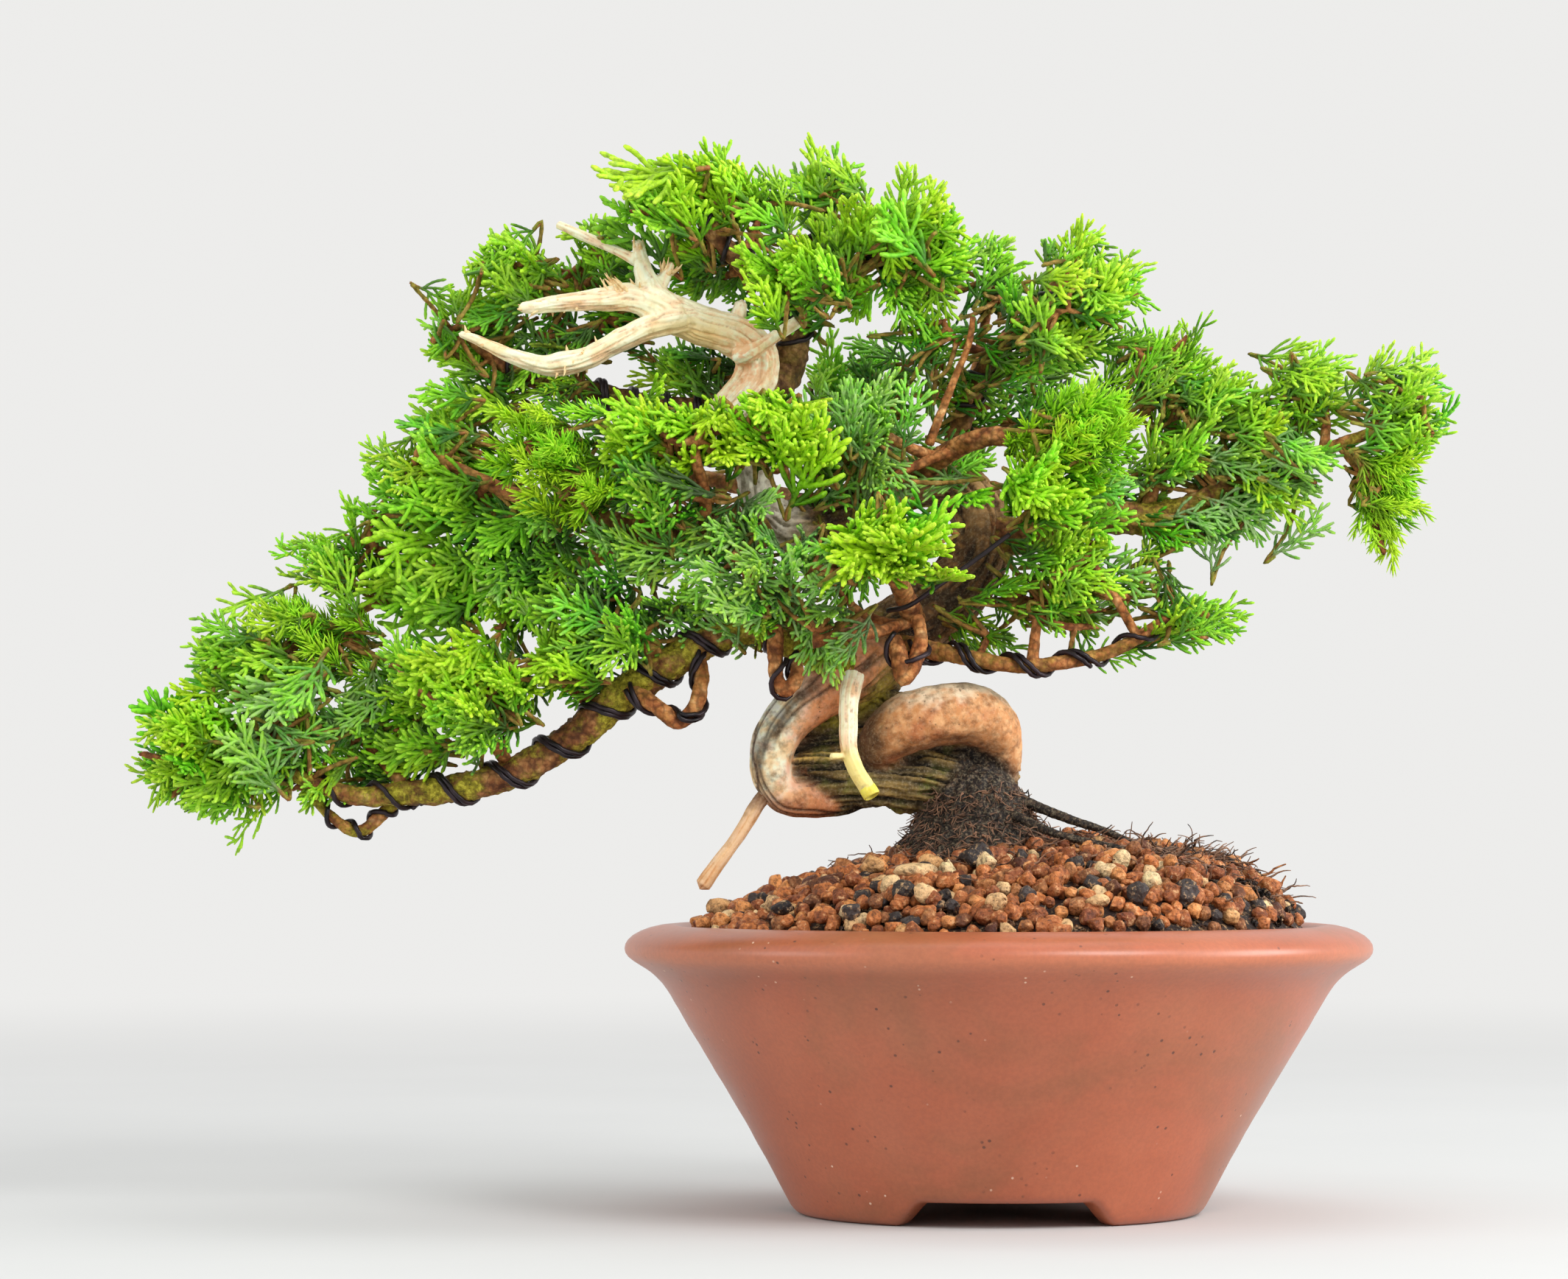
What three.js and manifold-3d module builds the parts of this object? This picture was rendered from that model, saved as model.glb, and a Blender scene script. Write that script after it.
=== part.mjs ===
// Juniper bonsai in a round unglazed pot. Millimetres, +Z up.
// The tree is laid out about the pot's axis; the last lines move the whole group so that the
// middle of its outline stands over the origin, with the feet on z = 0.
import * as THREE from "three";
import { mergeVertices } from "three/addons/utils/BufferGeometryUtils.js";
import Module from "manifold-3d";

const wasm = await Module();
wasm.setup();

// ---- driving dimensions ----
const GAP = 0.35; // clearance between pieces that touch
const POT_SEGMENTS = 36;
const FOOT_HEIGHT = 6; // height of the three cut-outs in the foot ring
const FOOT_CUT_BOTTOM = 51.7; // width of a cut-out where it meets the table
const FOOT_CUT_TOP = 37.3;
const DRAIN_RADIUS = 12;
const FLOOR_TOP = 12.5; // inside floor of the pot
const FLOOR_UNDERSIDE = 6.6;
const MESH_PITCH = 4.5; // drainage mesh
const MESH_HOLE = 3;
const MESH_THICK = 1;
const WIRE_RADIUS = 0.6; // training wire, 1.2 mm aluminium
const TIE_RADIUS = 0.75; // anchor wire
const NECK_X = -5.2; // root neck's axis

// Outer wall from the foot up to the rim, then over the rim to its inner edge: [radius, height].
const POT_OUTER = [
  [44, 0], [47.8, 0], [49.3, 1], [50.4, 2.4], [54.2, 9.5], [60.1, 20.3], [66.4, 31], [72.9, 41.8],
  [79.2, 52.5], [82.1, 56.4], [84.4, 58.6], [87.7, 60.7], [89.8, 62.2], [90.4, 63.8], [89.7, 65.6],
  [87.2, 67.7], [83, 69.2], [79, 69.6], [76.6, 68.9],
];
const POT_INNER = [[75.6, 67.2], [74.6, 60], [72.4, 52], [63, 36], [53.5, 20], [49, 13.4], [47.5, FLOOR_TOP]];

// Live and dead limbs as centre lines: [x, y, z, radius].
const LIMBS = {
  core: [[-1.5, 3, 104.1, 8], [-9.6, 2, 104.4, 8.6], [-20.4, 0, 104.8, 8.2], [-31.1, -1, 105.1, 8], [-41.9, -1, 105.8, 7.6], [-49, 0, 107.1, 6.5]],
  roll: [[-4.2, 2, 95.5, 7], [-0.3, 2, 101.7, 6.3], [1.5, 1, 109.8, 6.2], [-0.7, -1, 117.3, 7.2], [-7.6, -4, 122.2, 7.6], [-16.7, -7, 121.8, 7.2], [-25, -8, 118.2, 6.2], [-31.2, -6, 115.1, 4.8]],
  loop: [[-41, -3, 99.4, 3.6], [-48.7, -5, 100.8, 4.4], [-54.7, -6, 105.1, 4.8], [-56.2, -6, 112.4, 4.9], [-52.6, -5, 119.5, 5.4], [-45.5, -3, 124.9, 6.4], [-37.4, 0, 129.8, 8.2], [-32.5, 2, 134.9, 9]],
  upper: [[-41.8, 4, 125.1, 8.6], [-33.8, 4, 130.5, 10], [-26.5, 5, 138.2, 9.6], [-16.2, 7, 145.5, 8.8], [-7.9, 9, 153.5, 8.3], [-3.5, 11, 162.3, 7.8], [-4.1, 13, 170.5, 7.4], [-9.6, 13, 176.5, 7], [-17.4, 11, 178.2, 6.6], [-28.3, 8, 174.4, 6.4], [-40, 5, 169.2, 6.2], [-50.8, 2, 166.8, 6.4], [-56.9, 0, 170.6, 5.4], [-58.7, -1, 177.7, 4.6], [-60.1, -2, 183.4, 4.8]],
  jin_main: [[-61.5, -3, 183, 5.6], [-65.4, -4, 189.1, 6.2], [-63.7, -4, 195, 7], [-59.4, -3, 200.8, 6.8], [-56.2, -2, 207.7, 6.6], [-58.7, -2, 212.5, 6.6], [-66, -2, 215.6, 6], [-75.8, -3, 218.3, 5.6], [-84.7, -4, 221.2, 5.2]],
  jin_up: [[-83.8, -4, 220, 4.2], [-86.2, -3, 226.5, 3.4], [-86.6, -2, 232.2, 2.2], [-87.3, -2, 235.6, 1]],
  jin_left: [[-81.1, -4, 220, 4.4], [-91.8, -5, 222.7, 3.4], [-99.8, -6, 221.6, 2.6], [-107.8, -7, 220.4, 1.8], [-115.2, -8, 219, 0.9]],
  jin_low: [[-80.2, -5, 217, 3.6], [-87.8, -7, 213.3, 3.4], [-96.7, -8, 208.6, 2.8], [-105.2, -8, 205.7, 3.4], [-113.1, -8, 205.9, 2.2], [-121.9, -9, 209.2, 1.5], [-130, -10, 212.3, 0.8]],
  jin_right: [[-63.3, -6, 208.7, 1.8], [-56.2, -9, 211.3, 1.6], [-48.7, -11, 214.8, 1.1]],
  jin_twig: [[-95.6, 2, 224.2, 1.4], [-97.2, 5, 232.1, 1.3], [-101.6, 7, 238.1, 1], [-107.2, 8, 240.9, 0.6]],
  stub_front: [[-32.7, -11, 128.3, 2.6], [-36.2, -16, 122, 2.4], [-37.4, -18, 112.2, 2.2], [-34.4, -19, 106.4, 2.1], [-30.8, -20, 101.5, 2.1]],
  stub_low: [[-57.2, -4, 99, 2], [-61.5, -6, 93.3, 1.8], [-66.5, -8, 87.5, 1.6], [-71.6, -9, 79.1, 1.5]],
  root_a: [[3.1, -4, 100.5, 2.6], [9.7, -6, 98.7, 2.2], [17.6, -8, 95.5, 2], [25.6, -9, 92.3, 1.8], [32.6, -10, 88.4, 1.5]],
  root_b: [[1.1, -8, 97.6, 2], [5.5, -13, 95.5, 1.8], [12.6, -18, 92.3, 1.5], [20.5, -20, 90.2, 1.3], [29.1, -22, 88.4, 1.1]],
  root_thin: [[54.4, -4, 83.7, 1.2], [59.7, -5, 83, 1.1], [63.5, -6, 80.3, 1], [67.5, -7, 76.6, 0.9], [70.4, -8, 72.4, 0.8]],
  branch_low_left: [[-36.5, -4, 132.9, 4.6], [-48.2, -9, 136.7, 4.2], [-57.9, -12, 139.4, 4], [-67.6, -14, 138.6, 4], [-79.8, -14, 134, 4.2], [-90.1, -13, 127.3, 4], [-98.7, -12, 119.9, 3.6], [-109, -10, 113.2, 3.4], [-120.1, -9, 109.7, 3], [-132.6, -8, 107, 2.8], [-145.1, -8, 104, 2.6], [-155.4, -8, 101.2, 2.3], [-165.4, -9, 104, 1.9], [-177.8, -9, 109.3, 1.6], [-190.3, -9, 113.6, 1.2]],
  branch_low_left_twig: [[-124.9, -3, 105.8, 1.5], [-134.8, -2, 102.3, 1.6], [-145.5, -3, 99.4, 1.6], [-153.9, -5, 92.3, 1.5], [-160.4, -6, 95.1, 1.3], [-166, -5, 100.5, 1.1]],
  branch_low_right: [[-23.7, -4, 136.9, 3.4], [-15.3, -10, 135.6, 3], [-4.8, -13, 133, 2.6], [5.8, -14, 131.6, 2.4], [16.5, -13, 132.7, 2.2], [26.3, -11, 135.2, 2], [33.5, -10, 138.8, 1.8], [40.7, -9, 143.8, 1.5], [50.5, -8, 145.3, 1.1]],
  branch_right: [[-4.8, 10, 165.5, 5.2], [5.1, 8, 164.3, 4.6], [15.7, 5, 166.3, 4.2], [26.4, 4, 168.7, 4.2], [37.1, 3, 168.3, 4], [47, 3, 170.8, 3.4], [55.1, 3, 175.3, 2.8], [66.7, 3, 179.8, 2.2], [80.1, 2, 185.1, 1.7], [94.2, 0, 190.3, 1.2], [102.9, -2, 193.7, 0.8]],
  branch_mid_right: [[-19.4, 4, 179, 3], [-11.5, -2, 184.5, 2.6], [-1.9, -8, 187.6, 2.4], [7.6, -14, 185.7, 2.1], [16.1, -20, 181.7, 1.7], [22.8, -24, 183.2, 1.2]],
  branch_upper_left: [[-61.6, 4, 195.1, 3.2], [-72.5, 10, 195.5, 3], [-87, 13, 197.1, 2.8], [-99.7, 14, 200.5, 2.6], [-110.6, 15, 202.4, 2.2], [-119.6, 14, 205.9, 1.9], [-126.7, 12, 211.2, 1.5], [-132, 10, 216.4, 1.1]],
  branch_mid_left: [[-56.2, -8, 164.8, 3.6], [-65.9, -14, 160.6, 3.2], [-75.5, -17, 161.6, 2.8], [-87.9, -18, 165.1, 2.6], [-102, -17, 168.7, 2.3], [-116.3, -14, 173, 1.9], [-128.9, -10, 178.9, 1.5], [-139.9, -6, 184.5, 1.1]],
  branch_left: [[-63.4, 4, 169.1, 3], [-74.3, 12, 167.4, 2.6], [-88.9, 15, 162.5, 2.4], [-106.9, 14, 157, 2.1], [-126.7, 11, 153.3, 1.8], [-144.5, 8, 151.3, 1.5], [-162.2, 4, 142.2, 1.2], [-174.5, 2, 134.9, 0.9]],
  leader: [[-56.2, 6, 198, 4.6], [-51.2, 8, 205.4, 4.4], [-49.4, 6, 213.8, 4], [-51.2, 2, 221.9, 3.8], [-57.1, -2, 227.3, 3], [-64.7, -4, 232.8, 2.4], [-70.8, -5, 239.9, 1.9], [-73.1, -5, 247.9, 1.3]],
  branch_apex_right: [[-49.4, 4, 220.8, 2.8], [-41.8, 6, 225.3, 2.4], [-33.7, 6, 230, 2.2], [-25.6, 5, 233.9, 1.8], [-18.5, 4, 240.9, 1.3]],
  branch_apex_back: [[-50.8, 10, 218.2, 2.4], [-46.8, 16, 227.9, 2], [-44.4, 20, 237.4, 1.7], [-42, 22, 246.7, 1.2]],
  branch_upper_right: [[-12.3, 18, 180.8, 3], [-8.9, 22, 190.2, 2.8], [-5.7, 20, 199.2, 2.6], [-1, 14, 207.7, 2.4], [5.9, 6, 216, 2], [13.6, 0, 222.6, 1.7], [20, 2, 231.7, 1.2]],
  branch_back_centre: [[-19.9, 18, 178.7, 2.8], [-26, 32, 187.3, 2.4], [-29.5, 42, 197.3, 2], [-30.3, 46, 207, 1.5]],
  branch_back_left: [[-43.6, 12, 171.4, 2.6], [-56.3, 26, 176.3, 2.3], [-71.1, 36, 180.3, 1.9], [-86, 42, 182.5, 1.5], [-97.2, 44, 182.7, 1.1]],
  branch_front: [[-20.5, -4, 144, 2.8], [-23.5, -18, 150.1, 2.4], [-26.1, -30, 153.9, 2], [-28, -40, 156.4, 1.5]],
};
// Side shoots that leave those limbs, under the name of the limb they grow from.
const SHOOTS = {
  branch_left: [
    [[-128.4, 10, 152.9, 1.4], [-139.1, 8, 156.4, 1.2], [-151.6, 6, 161.1, 1], [-160.2, 6, 164.5, 0.8]],
  ],
  leader: [
    [[-51.5, 1, 222.7, 1.8], [-52.2, -14, 225, 1.4], [-52.9, -24, 226.3, 1]],
  ],
  branch_upper_left: [
    [[-101.5, 14, 200.5, 1.5], [-105.8, 20, 212.8, 1.3], [-110.5, 20, 223.8, 1.1], [-117.4, 14, 230.9, 0.9]],
  ],
  branch_upper_right: [
    [[-5.7, 20, 199.2, 1.6], [-2.6, 33, 213.2, 1.3], [0.3, 40, 227.7, 1]],
    [[-8.9, 22, 190.2, 1.7], [4.1, 35, 192.7, 1.4], [16.2, 41, 196.5, 1]],
  ],
  branch_mid_right: [
    [[-14.1, 0, 182.8, 1.6], [-23.3, -8, 185.8, 1.3], [-31.3, -12, 190.8, 1]],
    [[-9.8, -3, 185.1, 1.5], [-18.4, -6, 181.3, 1.2], [-25.9, -8, 178.1, 0.9]],
  ],
  branch_mid_left: [
    [[-65.9, -14, 160.6, 1.7], [-64.1, -26, 158.2, 1.4], [-63, -33, 156.4, 1]],
    [[-101.1, -17, 168.4, 1.5], [-107.2, -26, 176, 1.3], [-112.2, -32, 183.3, 1]],
    [[-72, -16, 161.3, 1.8], [-70.4, -28, 170.6, 1.5], [-72.8, -34, 181.6, 1.3], [-71.4, -35, 187.2, 1]],
    [[-87, -18, 164.8, 1.5], [-86.1, -31, 168.7, 1]],
  ],
  branch_low_left: [
    [[-144.2, -8, 104.2, 1.6], [-151.2, -2, 111.5, 1.3], [-157.7, 2, 117, 1]],
    [[-119.2, -9, 109.7, 1.8], [-122.8, -17, 116.6, 1.5], [-124.4, -25, 127, 1]],
    [[-80.9, -14, 133.5, 2], [-87.4, -20, 139.1, 1.5], [-95, -24, 142.8, 1]],
  ],
  branch_low_right: [
    [[7.6, -14, 131.6, 1.6], [8.8, -11, 139.8, 1.3], [9.9, -9, 147.9, 1]],
    [[33.5, -10, 138.8, 1.2], [28.9, -12, 146.9, 1.1], [23.5, -14, 153.9, 0.9]],
  ],
  branch_right: [
    [[36.2, 3, 168.3, 1.9], [40.6, 6, 183.6, 1.5], [44.7, 8, 197.3, 1.2], [46.9, 8, 204.5, 0.9]],
    [[80.1, 2, 185.5, 1.4], [80.9, 6, 193.5, 1.1], [80, 8, 200, 0.8]],
    [[83.7, 2, 186.5, 1.4], [88.3, -4, 179.3, 1.1], [90.7, -8, 174.6, 0.8]],
  ],
  branch_front: [
    [[-22, -6, 142.7, 1.6], [-31.4, -18, 139.5, 1.4], [-40.3, -24, 138.6, 1.2], [-44.2, -26, 137.9, 0.9]],
  ],
};

// Foliage pads, each one or more rounded lumps: [x, y, z, half width, half depth, half height, tilt in degrees].
const PADS = {
  foliage_apex_left: [[-73.1, -5, 250.9, 15.7, 15, 11.1, 0], [-89.8, -13, 241, 12.7, 12, 6.7, 12]],
  foliage_apex_back: [[-41.3, 22, 254, 9.1, 12, 10.6, 0]],
  foliage_apex_right: [[-23.6, 2, 245.2, 14, 16, 9.3, -15], [-16.3, 6, 234, 11.2, 15, 11.2, 0]],
  foliage_apex_front: [[-52.9, -26, 226.5, 11.6, 12, 6, 0]],
  foliage_upper_left: [[-119.5, 12, 232.5, 10.1, 13, 9, 0], [-103.8, 26, 232.2, 11, 11, 5.9, 0]],
  foliage_upper_left_low: [[-129.2, 22, 214.8, 12, 13, 8.7, 0]],
  foliage_upper_right_back: [[0.6, 40, 231.4, 9.2, 12, 10.2, 0]],
  foliage_upper_right: [[19.8, 8, 236, 7.9, 12, 10.5, -10], [17, -4, 218.6, 13.2, 15, 10.3, 0], [33.9, 8, 223.4, 7.9, 11, 10.1, -15]],
  foliage_centre_back: [[-31.2, 50, 211, 14.5, 14, 9.7, 0], [-29.3, 52, 192.6, 15.7, 14, 9.3, 0]],
  foliage_centre: [[-32.2, -12, 192.9, 14.9, 14, 10.3, 0], [-26.8, -8, 177.3, 13.2, 11, 7.1, 0]],
  foliage_centre_front: [[-27.7, -48, 159.4, 17.2, 16, 10, 0]],
  foliage_centre_hanging: [[-44.2, -26, 137.9, 7, 8, 10.9, 0]],
  foliage_centre_left: [[-63, -34, 156, 14.6, 13, 12.2, 0]],
  foliage_left_outer: [[-139, 2, 188.7, 14.3, 14, 10, 20], [-133.3, 2, 172.6, 17.2, 14, 8.2, 0]],
  foliage_left_mid_front: [[-113.2, -32, 184.3, 14.3, 12, 8.7, 0], [-103.2, -30, 175.8, 12.2, 11, 9.1, 0]],
  foliage_left_front: [[-84.2, -35, 188.6, 12.9, 12, 8.7, 0], [-61.6, -33, 187.7, 16.7, 13, 8.4, -8]],
  foliage_left_mid: [[-85.6, -34, 170.3, 12.9, 10, 9, 0]],
  foliage_left_spray: [[-161.4, 6, 165.3, 10.8, 10, 6.5, -10]],
  foliage_left_lower: [[-118.5, -6, 157.8, 21.7, 15, 9.3, 0], [-139.1, 3, 150, 18.7, 15, 10, 10]],
  foliage_far_left_top: [[-182.6, 2, 138.1, 15.4, 14, 10, 15], [-164, 4, 140.4, 11.9, 13, 11.9, 0]],
  foliage_far_left: [[-197.9, -12, 115, 12.1, 14, 11.7, 0], [-178.3, -10, 115, 15.3, 16, 11.7, 0]],
  foliage_left_low_inner: [[-158.8, 2, 117.9, 11.1, 14, 12.6, 0]],
  foliage_low_left_front: [[-124.7, -26, 129.1, 18.9, 13, 9.1, 0], [-128.9, -21, 117.6, 12.7, 12, 8.8, 0]],
  foliage_low_mid: [[-96.1, -24, 143.2, 17.2, 11, 12.6, 10]],
  foliage_right_mid_front: [[12, -30, 174, 12.9, 13, 12.2, 0], [24.2, -30, 188, 13.6, 12, 11.5, 0]],
  foliage_right_centre_low: [[21.7, -14, 154.7, 15.9, 13, 11, 0], [8.2, -8, 148.1, 13.5, 12, 9.6, 0]],
  foliage_right_low_tip: [[50.5, -8, 144.4, 12.8, 12, 9.2, 20]],
  foliage_right_twigs: [[46.5, 8, 204.5, 11.2, 12, 11.2, 0]],
  foliage_right_long: [[49, 6, 185.4, 13, 14, 10.4, 0], [63.2, 4, 177.2, 15.1, 14, 10.1, 0]],
  foliage_right_end: [[79.8, 8, 200.9, 14.8, 14, 10.1, 0], [98.1, -4, 196.3, 13.6, 14, 10.7, 0], [91.1, -8, 174.1, 12.8, 12, 11, 0]],
  foliage_back_left: [[-91.8, 50, 181.2, 17.9, 14, 11.2, 0]],
  foliage_back_right: [[17.8, 42, 197.3, 15.9, 14, 12.2, 0]],
};

// ---- solids ----
const solidOf = (geometry) => {
  const g = geometry.index ? geometry.toNonIndexed() : geometry.clone();
  for (const name of Object.keys(g.attributes)) if (name !== "position") g.deleteAttribute(name);
  const m = mergeVertices(g, 1e-4);
  const make = (flip) => {
    const tri = new Uint32Array(m.index.array);
    if (flip) for (let i = 0; i < tri.length; i += 3) [tri[i + 1], tri[i + 2]] = [tri[i + 2], tri[i + 1]];
    return new wasm.Manifold(new wasm.Mesh({ numProp: 3, vertProperties: new Float32Array(m.attributes.position.array), triVerts: tri }));
  };
  const s = make(false);
  return s.volume() < 0 ? make(true) : s;
};
const geometryOf = (solid) => {
  const mesh = solid.getMesh();
  const g = new THREE.BufferGeometry();
  const p = new Float32Array(mesh.numVert * 3);
  for (let i = 0; i < mesh.numVert; i++) for (let k = 0; k < 3; k++) p[3 * i + k] = mesh.vertProperties[i * mesh.numProp + k];
  g.setAttribute("position", new THREE.BufferAttribute(p, 3));
  g.setIndex(new THREE.BufferAttribute(new Uint32Array(mesh.triVerts), 1));
  g.computeVertexNormals();
  return g;
};
const largest = (solid) => {
  const parts = solid.decompose();
  return parts.reduce((a, b) => (b.volume() > a.volume() ? b : a));
};
const join = (list) => list.reduce((a, b) => a.add(b));

const curveOf = (points) => {
  const curve = new THREE.CatmullRomCurve3(points.map((p) => new THREE.Vector3(p[0], p[1], p[2])), false, "centripetal");
  return curve;
};
// Radius along the curve, read by arc length at the table's own points.
const radiusOf = (points) => {
  const s = [0];
  for (let i = 1; i < points.length; i++)
    s.push(s[i - 1] + Math.hypot(points[i][0] - points[i - 1][0], points[i][1] - points[i - 1][1], points[i][2] - points[i - 1][2]));
  const total = s[s.length - 1];
  return (u) => {
    const d = u * total;
    let i = 1;
    while (i < s.length - 1 && s[i] < d) i++;
    const f = Math.min(1, Math.max(0, (d - s[i - 1]) / (s[i] - s[i - 1])));
    return points[i - 1][3] * (1 - f) + points[i][3] * f;
  };
};

// A tapered limb: a closed cylinder bent along its centre line.
const limb = (points, { sides = 7, grow = 0, steps } = {}) => {
  const curve = curveOf(points);
  const radius = radiusOf(points);
  const n = steps ?? Math.max(4, Math.round(points.length * 1.6));
  const frames = curve.computeFrenetFrames(n, false);
  const g = new THREE.CylinderGeometry(1, 1, 1, sides, n);
  const pos = g.attributes.position;
  const v = new THREE.Vector3();
  for (let i = 0; i < pos.count; i++) {
    v.fromBufferAttribute(pos, i);
    const u = Math.min(1, Math.max(0, v.y + 0.5));
    const k = Math.round(u * n);
    const c = curve.getPointAt(u);
    const r = radius(u) + grow;
    const end = k === 0 ? -grow : k === n ? grow : 0;
    c.addScaledVector(frames.normals[k], v.x * r).addScaledVector(frames.binormals[k], -v.z * r).addScaledVector(frames.tangents[k], end);
    pos.setXYZ(i, c.x, c.y, c.z);
  }
  return solidOf(g);
};
// A round wire of constant radius through the given points.
const wirePath = (points, r, { sides = 6, steps, tight = 0.5 } = {}) => {
  const curve = new THREE.CatmullRomCurve3(points.map((p) => new THREE.Vector3(...p)), false, "catmullrom", tight);
  const shape = new THREE.Shape();
  for (let i = 0; i < sides; i++) {
    const a = (2 * Math.PI * i) / sides;
    if (i) shape.lineTo(r * Math.cos(a), r * Math.sin(a));
    else shape.moveTo(r * Math.cos(a), r * Math.sin(a));
  }
  return solidOf(new THREE.ExtrudeGeometry(shape, { steps, extrudePath: curve, bevelEnabled: false }));
};
// A training wire coiled round a limb.
const coil = (points, { from, to, turns, phase = 0, perTurn = 7, clear = 0.75 }) => {
  const curve = curveOf(points);
  const radius = radiusOf(points);
  const n = 200;
  const frames = curve.computeFrenetFrames(n, false);
  const count = Math.round(turns * perTurn);
  const path = [];
  for (let i = 0; i <= count; i++) {
    const u = from + ((to - from) * i) / count;
    const k = Math.round(u * n);
    const a = phase + (2 * Math.PI * turns * i) / count;
    const r = radius(u) + WIRE_RADIUS + clear;
    const p = curve.getPointAt(u).addScaledVector(frames.normals[k], r * Math.cos(a)).addScaledVector(frames.binormals[k], r * Math.sin(a));
    path.push(p.toArray());
  }
  return wirePath(path, WIRE_RADIUS, { sides: 5, steps: count, tight: 0.5 });
};
// A rounded, slightly lumpy pad.
const lump = ([x, y, z, a, b, c, tilt], seed, grow = 0) => {
  const g = new THREE.IcosahedronGeometry(1, 1);
  const pos = g.attributes.position;
  const v = new THREE.Vector3();
  const t = THREE.MathUtils.degToRad(-tilt);
  for (let i = 0; i < pos.count; i++) {
    v.fromBufferAttribute(pos, i);
    const w = 1.1 + 0.09 * Math.sin(3.1 * v.x + 1.7 * seed) * Math.cos(2.7 * v.y - seed) + 0.06 * Math.sin(5.3 * v.z + 2.3 * seed);
    const px = v.x * (a * w + grow), py = v.y * (b * w + grow), pz = v.z * (c * w + grow);
    pos.setXYZ(i, x + px * Math.cos(t) - pz * Math.sin(t), y + py, z + px * Math.sin(t) + pz * Math.cos(t));
  }
  return solidOf(g);
};
const lathe = (profile, segments) => {
  const g = new THREE.LatheGeometry(profile.map(([r, h]) => new THREE.Vector2(r, h)), segments);
  g.rotateX(Math.PI / 2);
  return solidOf(g);
};
const box = (sx, sy, sz, x, y, z) => {
  const g = new THREE.BoxGeometry(sx, sy, sz);
  g.translate(x, y, z);
  return solidOf(g);
};
const cylinder = (r, h, x, y, z, segments = 32) => {
  const g = new THREE.CylinderGeometry(r, r, h, segments);
  g.rotateX(Math.PI / 2);
  g.translate(x, y, z);
  return solidOf(g);
};

// ---- the group and its materials ----
const model = new THREE.Group();
const material = {
  pot: new THREE.MeshStandardMaterial({ color: 0xa55a41, roughness: 0.5, metalness: 0 }),
  mesh: new THREE.MeshStandardMaterial({ color: 0x1f4f2e, roughness: 0.7, metalness: 0 }),
  wire: new THREE.MeshStandardMaterial({ color: 0x2c2426, roughness: 0.45, metalness: 0.6 }),
  soil: new THREE.MeshStandardMaterial({ color: 0x96552d, roughness: 0.95, metalness: 0 }),
  bark: new THREE.MeshStandardMaterial({ color: 0x8a6a3c, roughness: 0.85, metalness: 0 }),
  twig: new THREE.MeshStandardMaterial({ color: 0x96603a, roughness: 0.8, metalness: 0 }),
  dead: new THREE.MeshStandardMaterial({ color: 0xebd7b9, roughness: 0.7, metalness: 0 }),
  leaf: new THREE.MeshStandardMaterial({ color: 0x4aa832, roughness: 0.7, metalness: 0 }),
};
const add = (name, solid, mat) => {
  const mesh = new THREE.Mesh(geometryOf(solid), material[mat]);
  mesh.name = name;
  model.add(mesh);
};

// ---- pot ----
let pot = lathe([[0, FLOOR_UNDERSIDE], [42.6, FLOOR_UNDERSIDE - 0.3], [43.4, 0.5], ...POT_OUTER, ...POT_INNER, [0, FLOOR_TOP]], POT_SEGMENTS);
for (let i = 0; i < 3; i++) {
  const s = new THREE.Shape();
  s.moveTo(-FOOT_CUT_BOTTOM / 2 - 0.65, -0.5);
  s.lineTo(FOOT_CUT_BOTTOM / 2 + 0.65, -0.5);
  s.lineTo(FOOT_CUT_TOP / 2, FOOT_HEIGHT);
  s.lineTo(-FOOT_CUT_TOP / 2, FOOT_HEIGHT);
  const g = new THREE.ExtrudeGeometry(s, { depth: 34, bevelEnabled: false });
  g.rotateX(Math.PI / 2);
  g.translate(0, -30, 0);
  g.rotateZ((2 * Math.PI * i) / 3);
  pot = pot.subtract(solidOf(g));
}
pot = pot.subtract(cylinder(DRAIN_RADIUS, 12, 0, 0, (FLOOR_TOP + FLOOR_UNDERSIDE) / 2));
add("pot", pot, "pot");

// ---- drainage mesh, its clip and the anchor wire ----
let mesh = cylinder(19, MESH_THICK, 0, 0, FLOOR_TOP + GAP + MESH_THICK / 2, 28);
const meshTop = FLOOR_TOP + GAP + MESH_THICK;
for (let i = -3; i <= 3; i++)
  for (let j = -3; j <= 3; j++)
    if (Math.hypot(i, j) < 2.6)
      mesh = mesh.subtract(box(MESH_HOLE, MESH_HOLE, 4, i * MESH_PITCH, j * MESH_PITCH, meshTop));
add("drain_mesh", mesh, "mesh");
const leg = 2 * MESH_PITCH;
const under = FLOOR_UNDERSIDE - GAP - 1.3;
const clipPath = [
  [-leg - 6, 0, under], [-leg - 2.5, 0, under], [-leg, 0, under + 1.2], [-leg, 0, FLOOR_TOP - 1], [-leg, 0, meshTop], [-leg + 1.2, 0, meshTop + 1.6],
  [0, 0, meshTop + 1.7], [leg - 1.2, 0, meshTop + 1.6], [leg, 0, meshTop], [leg, 0, FLOOR_TOP - 1], [leg, 0, under + 1.2], [leg + 2.5, 0, under], [leg + 6, 0, under],
];
add("mesh_clip", wirePath(clipPath, 0.5, { sides: 5, steps: 26 }), "wire");
const tiePath = [
  [0, -leg - 5, under], [0, -leg - 2, under], [0, -leg, under + 1.4], [0, -leg, meshTop + 1], [-9, -13, 32], [-20, -14, 55], [-28, -8, 76],
  [-19, -20, 80.5], [-5, -24.6, 81], [9, -20, 80.5], [18, -8, 76], [12, 6, 50], [4, 9, 30], [0, leg, meshTop + 1], [0, leg, under + 1.4], [0, leg + 2, under], [0, leg + 5, under],
];
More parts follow.
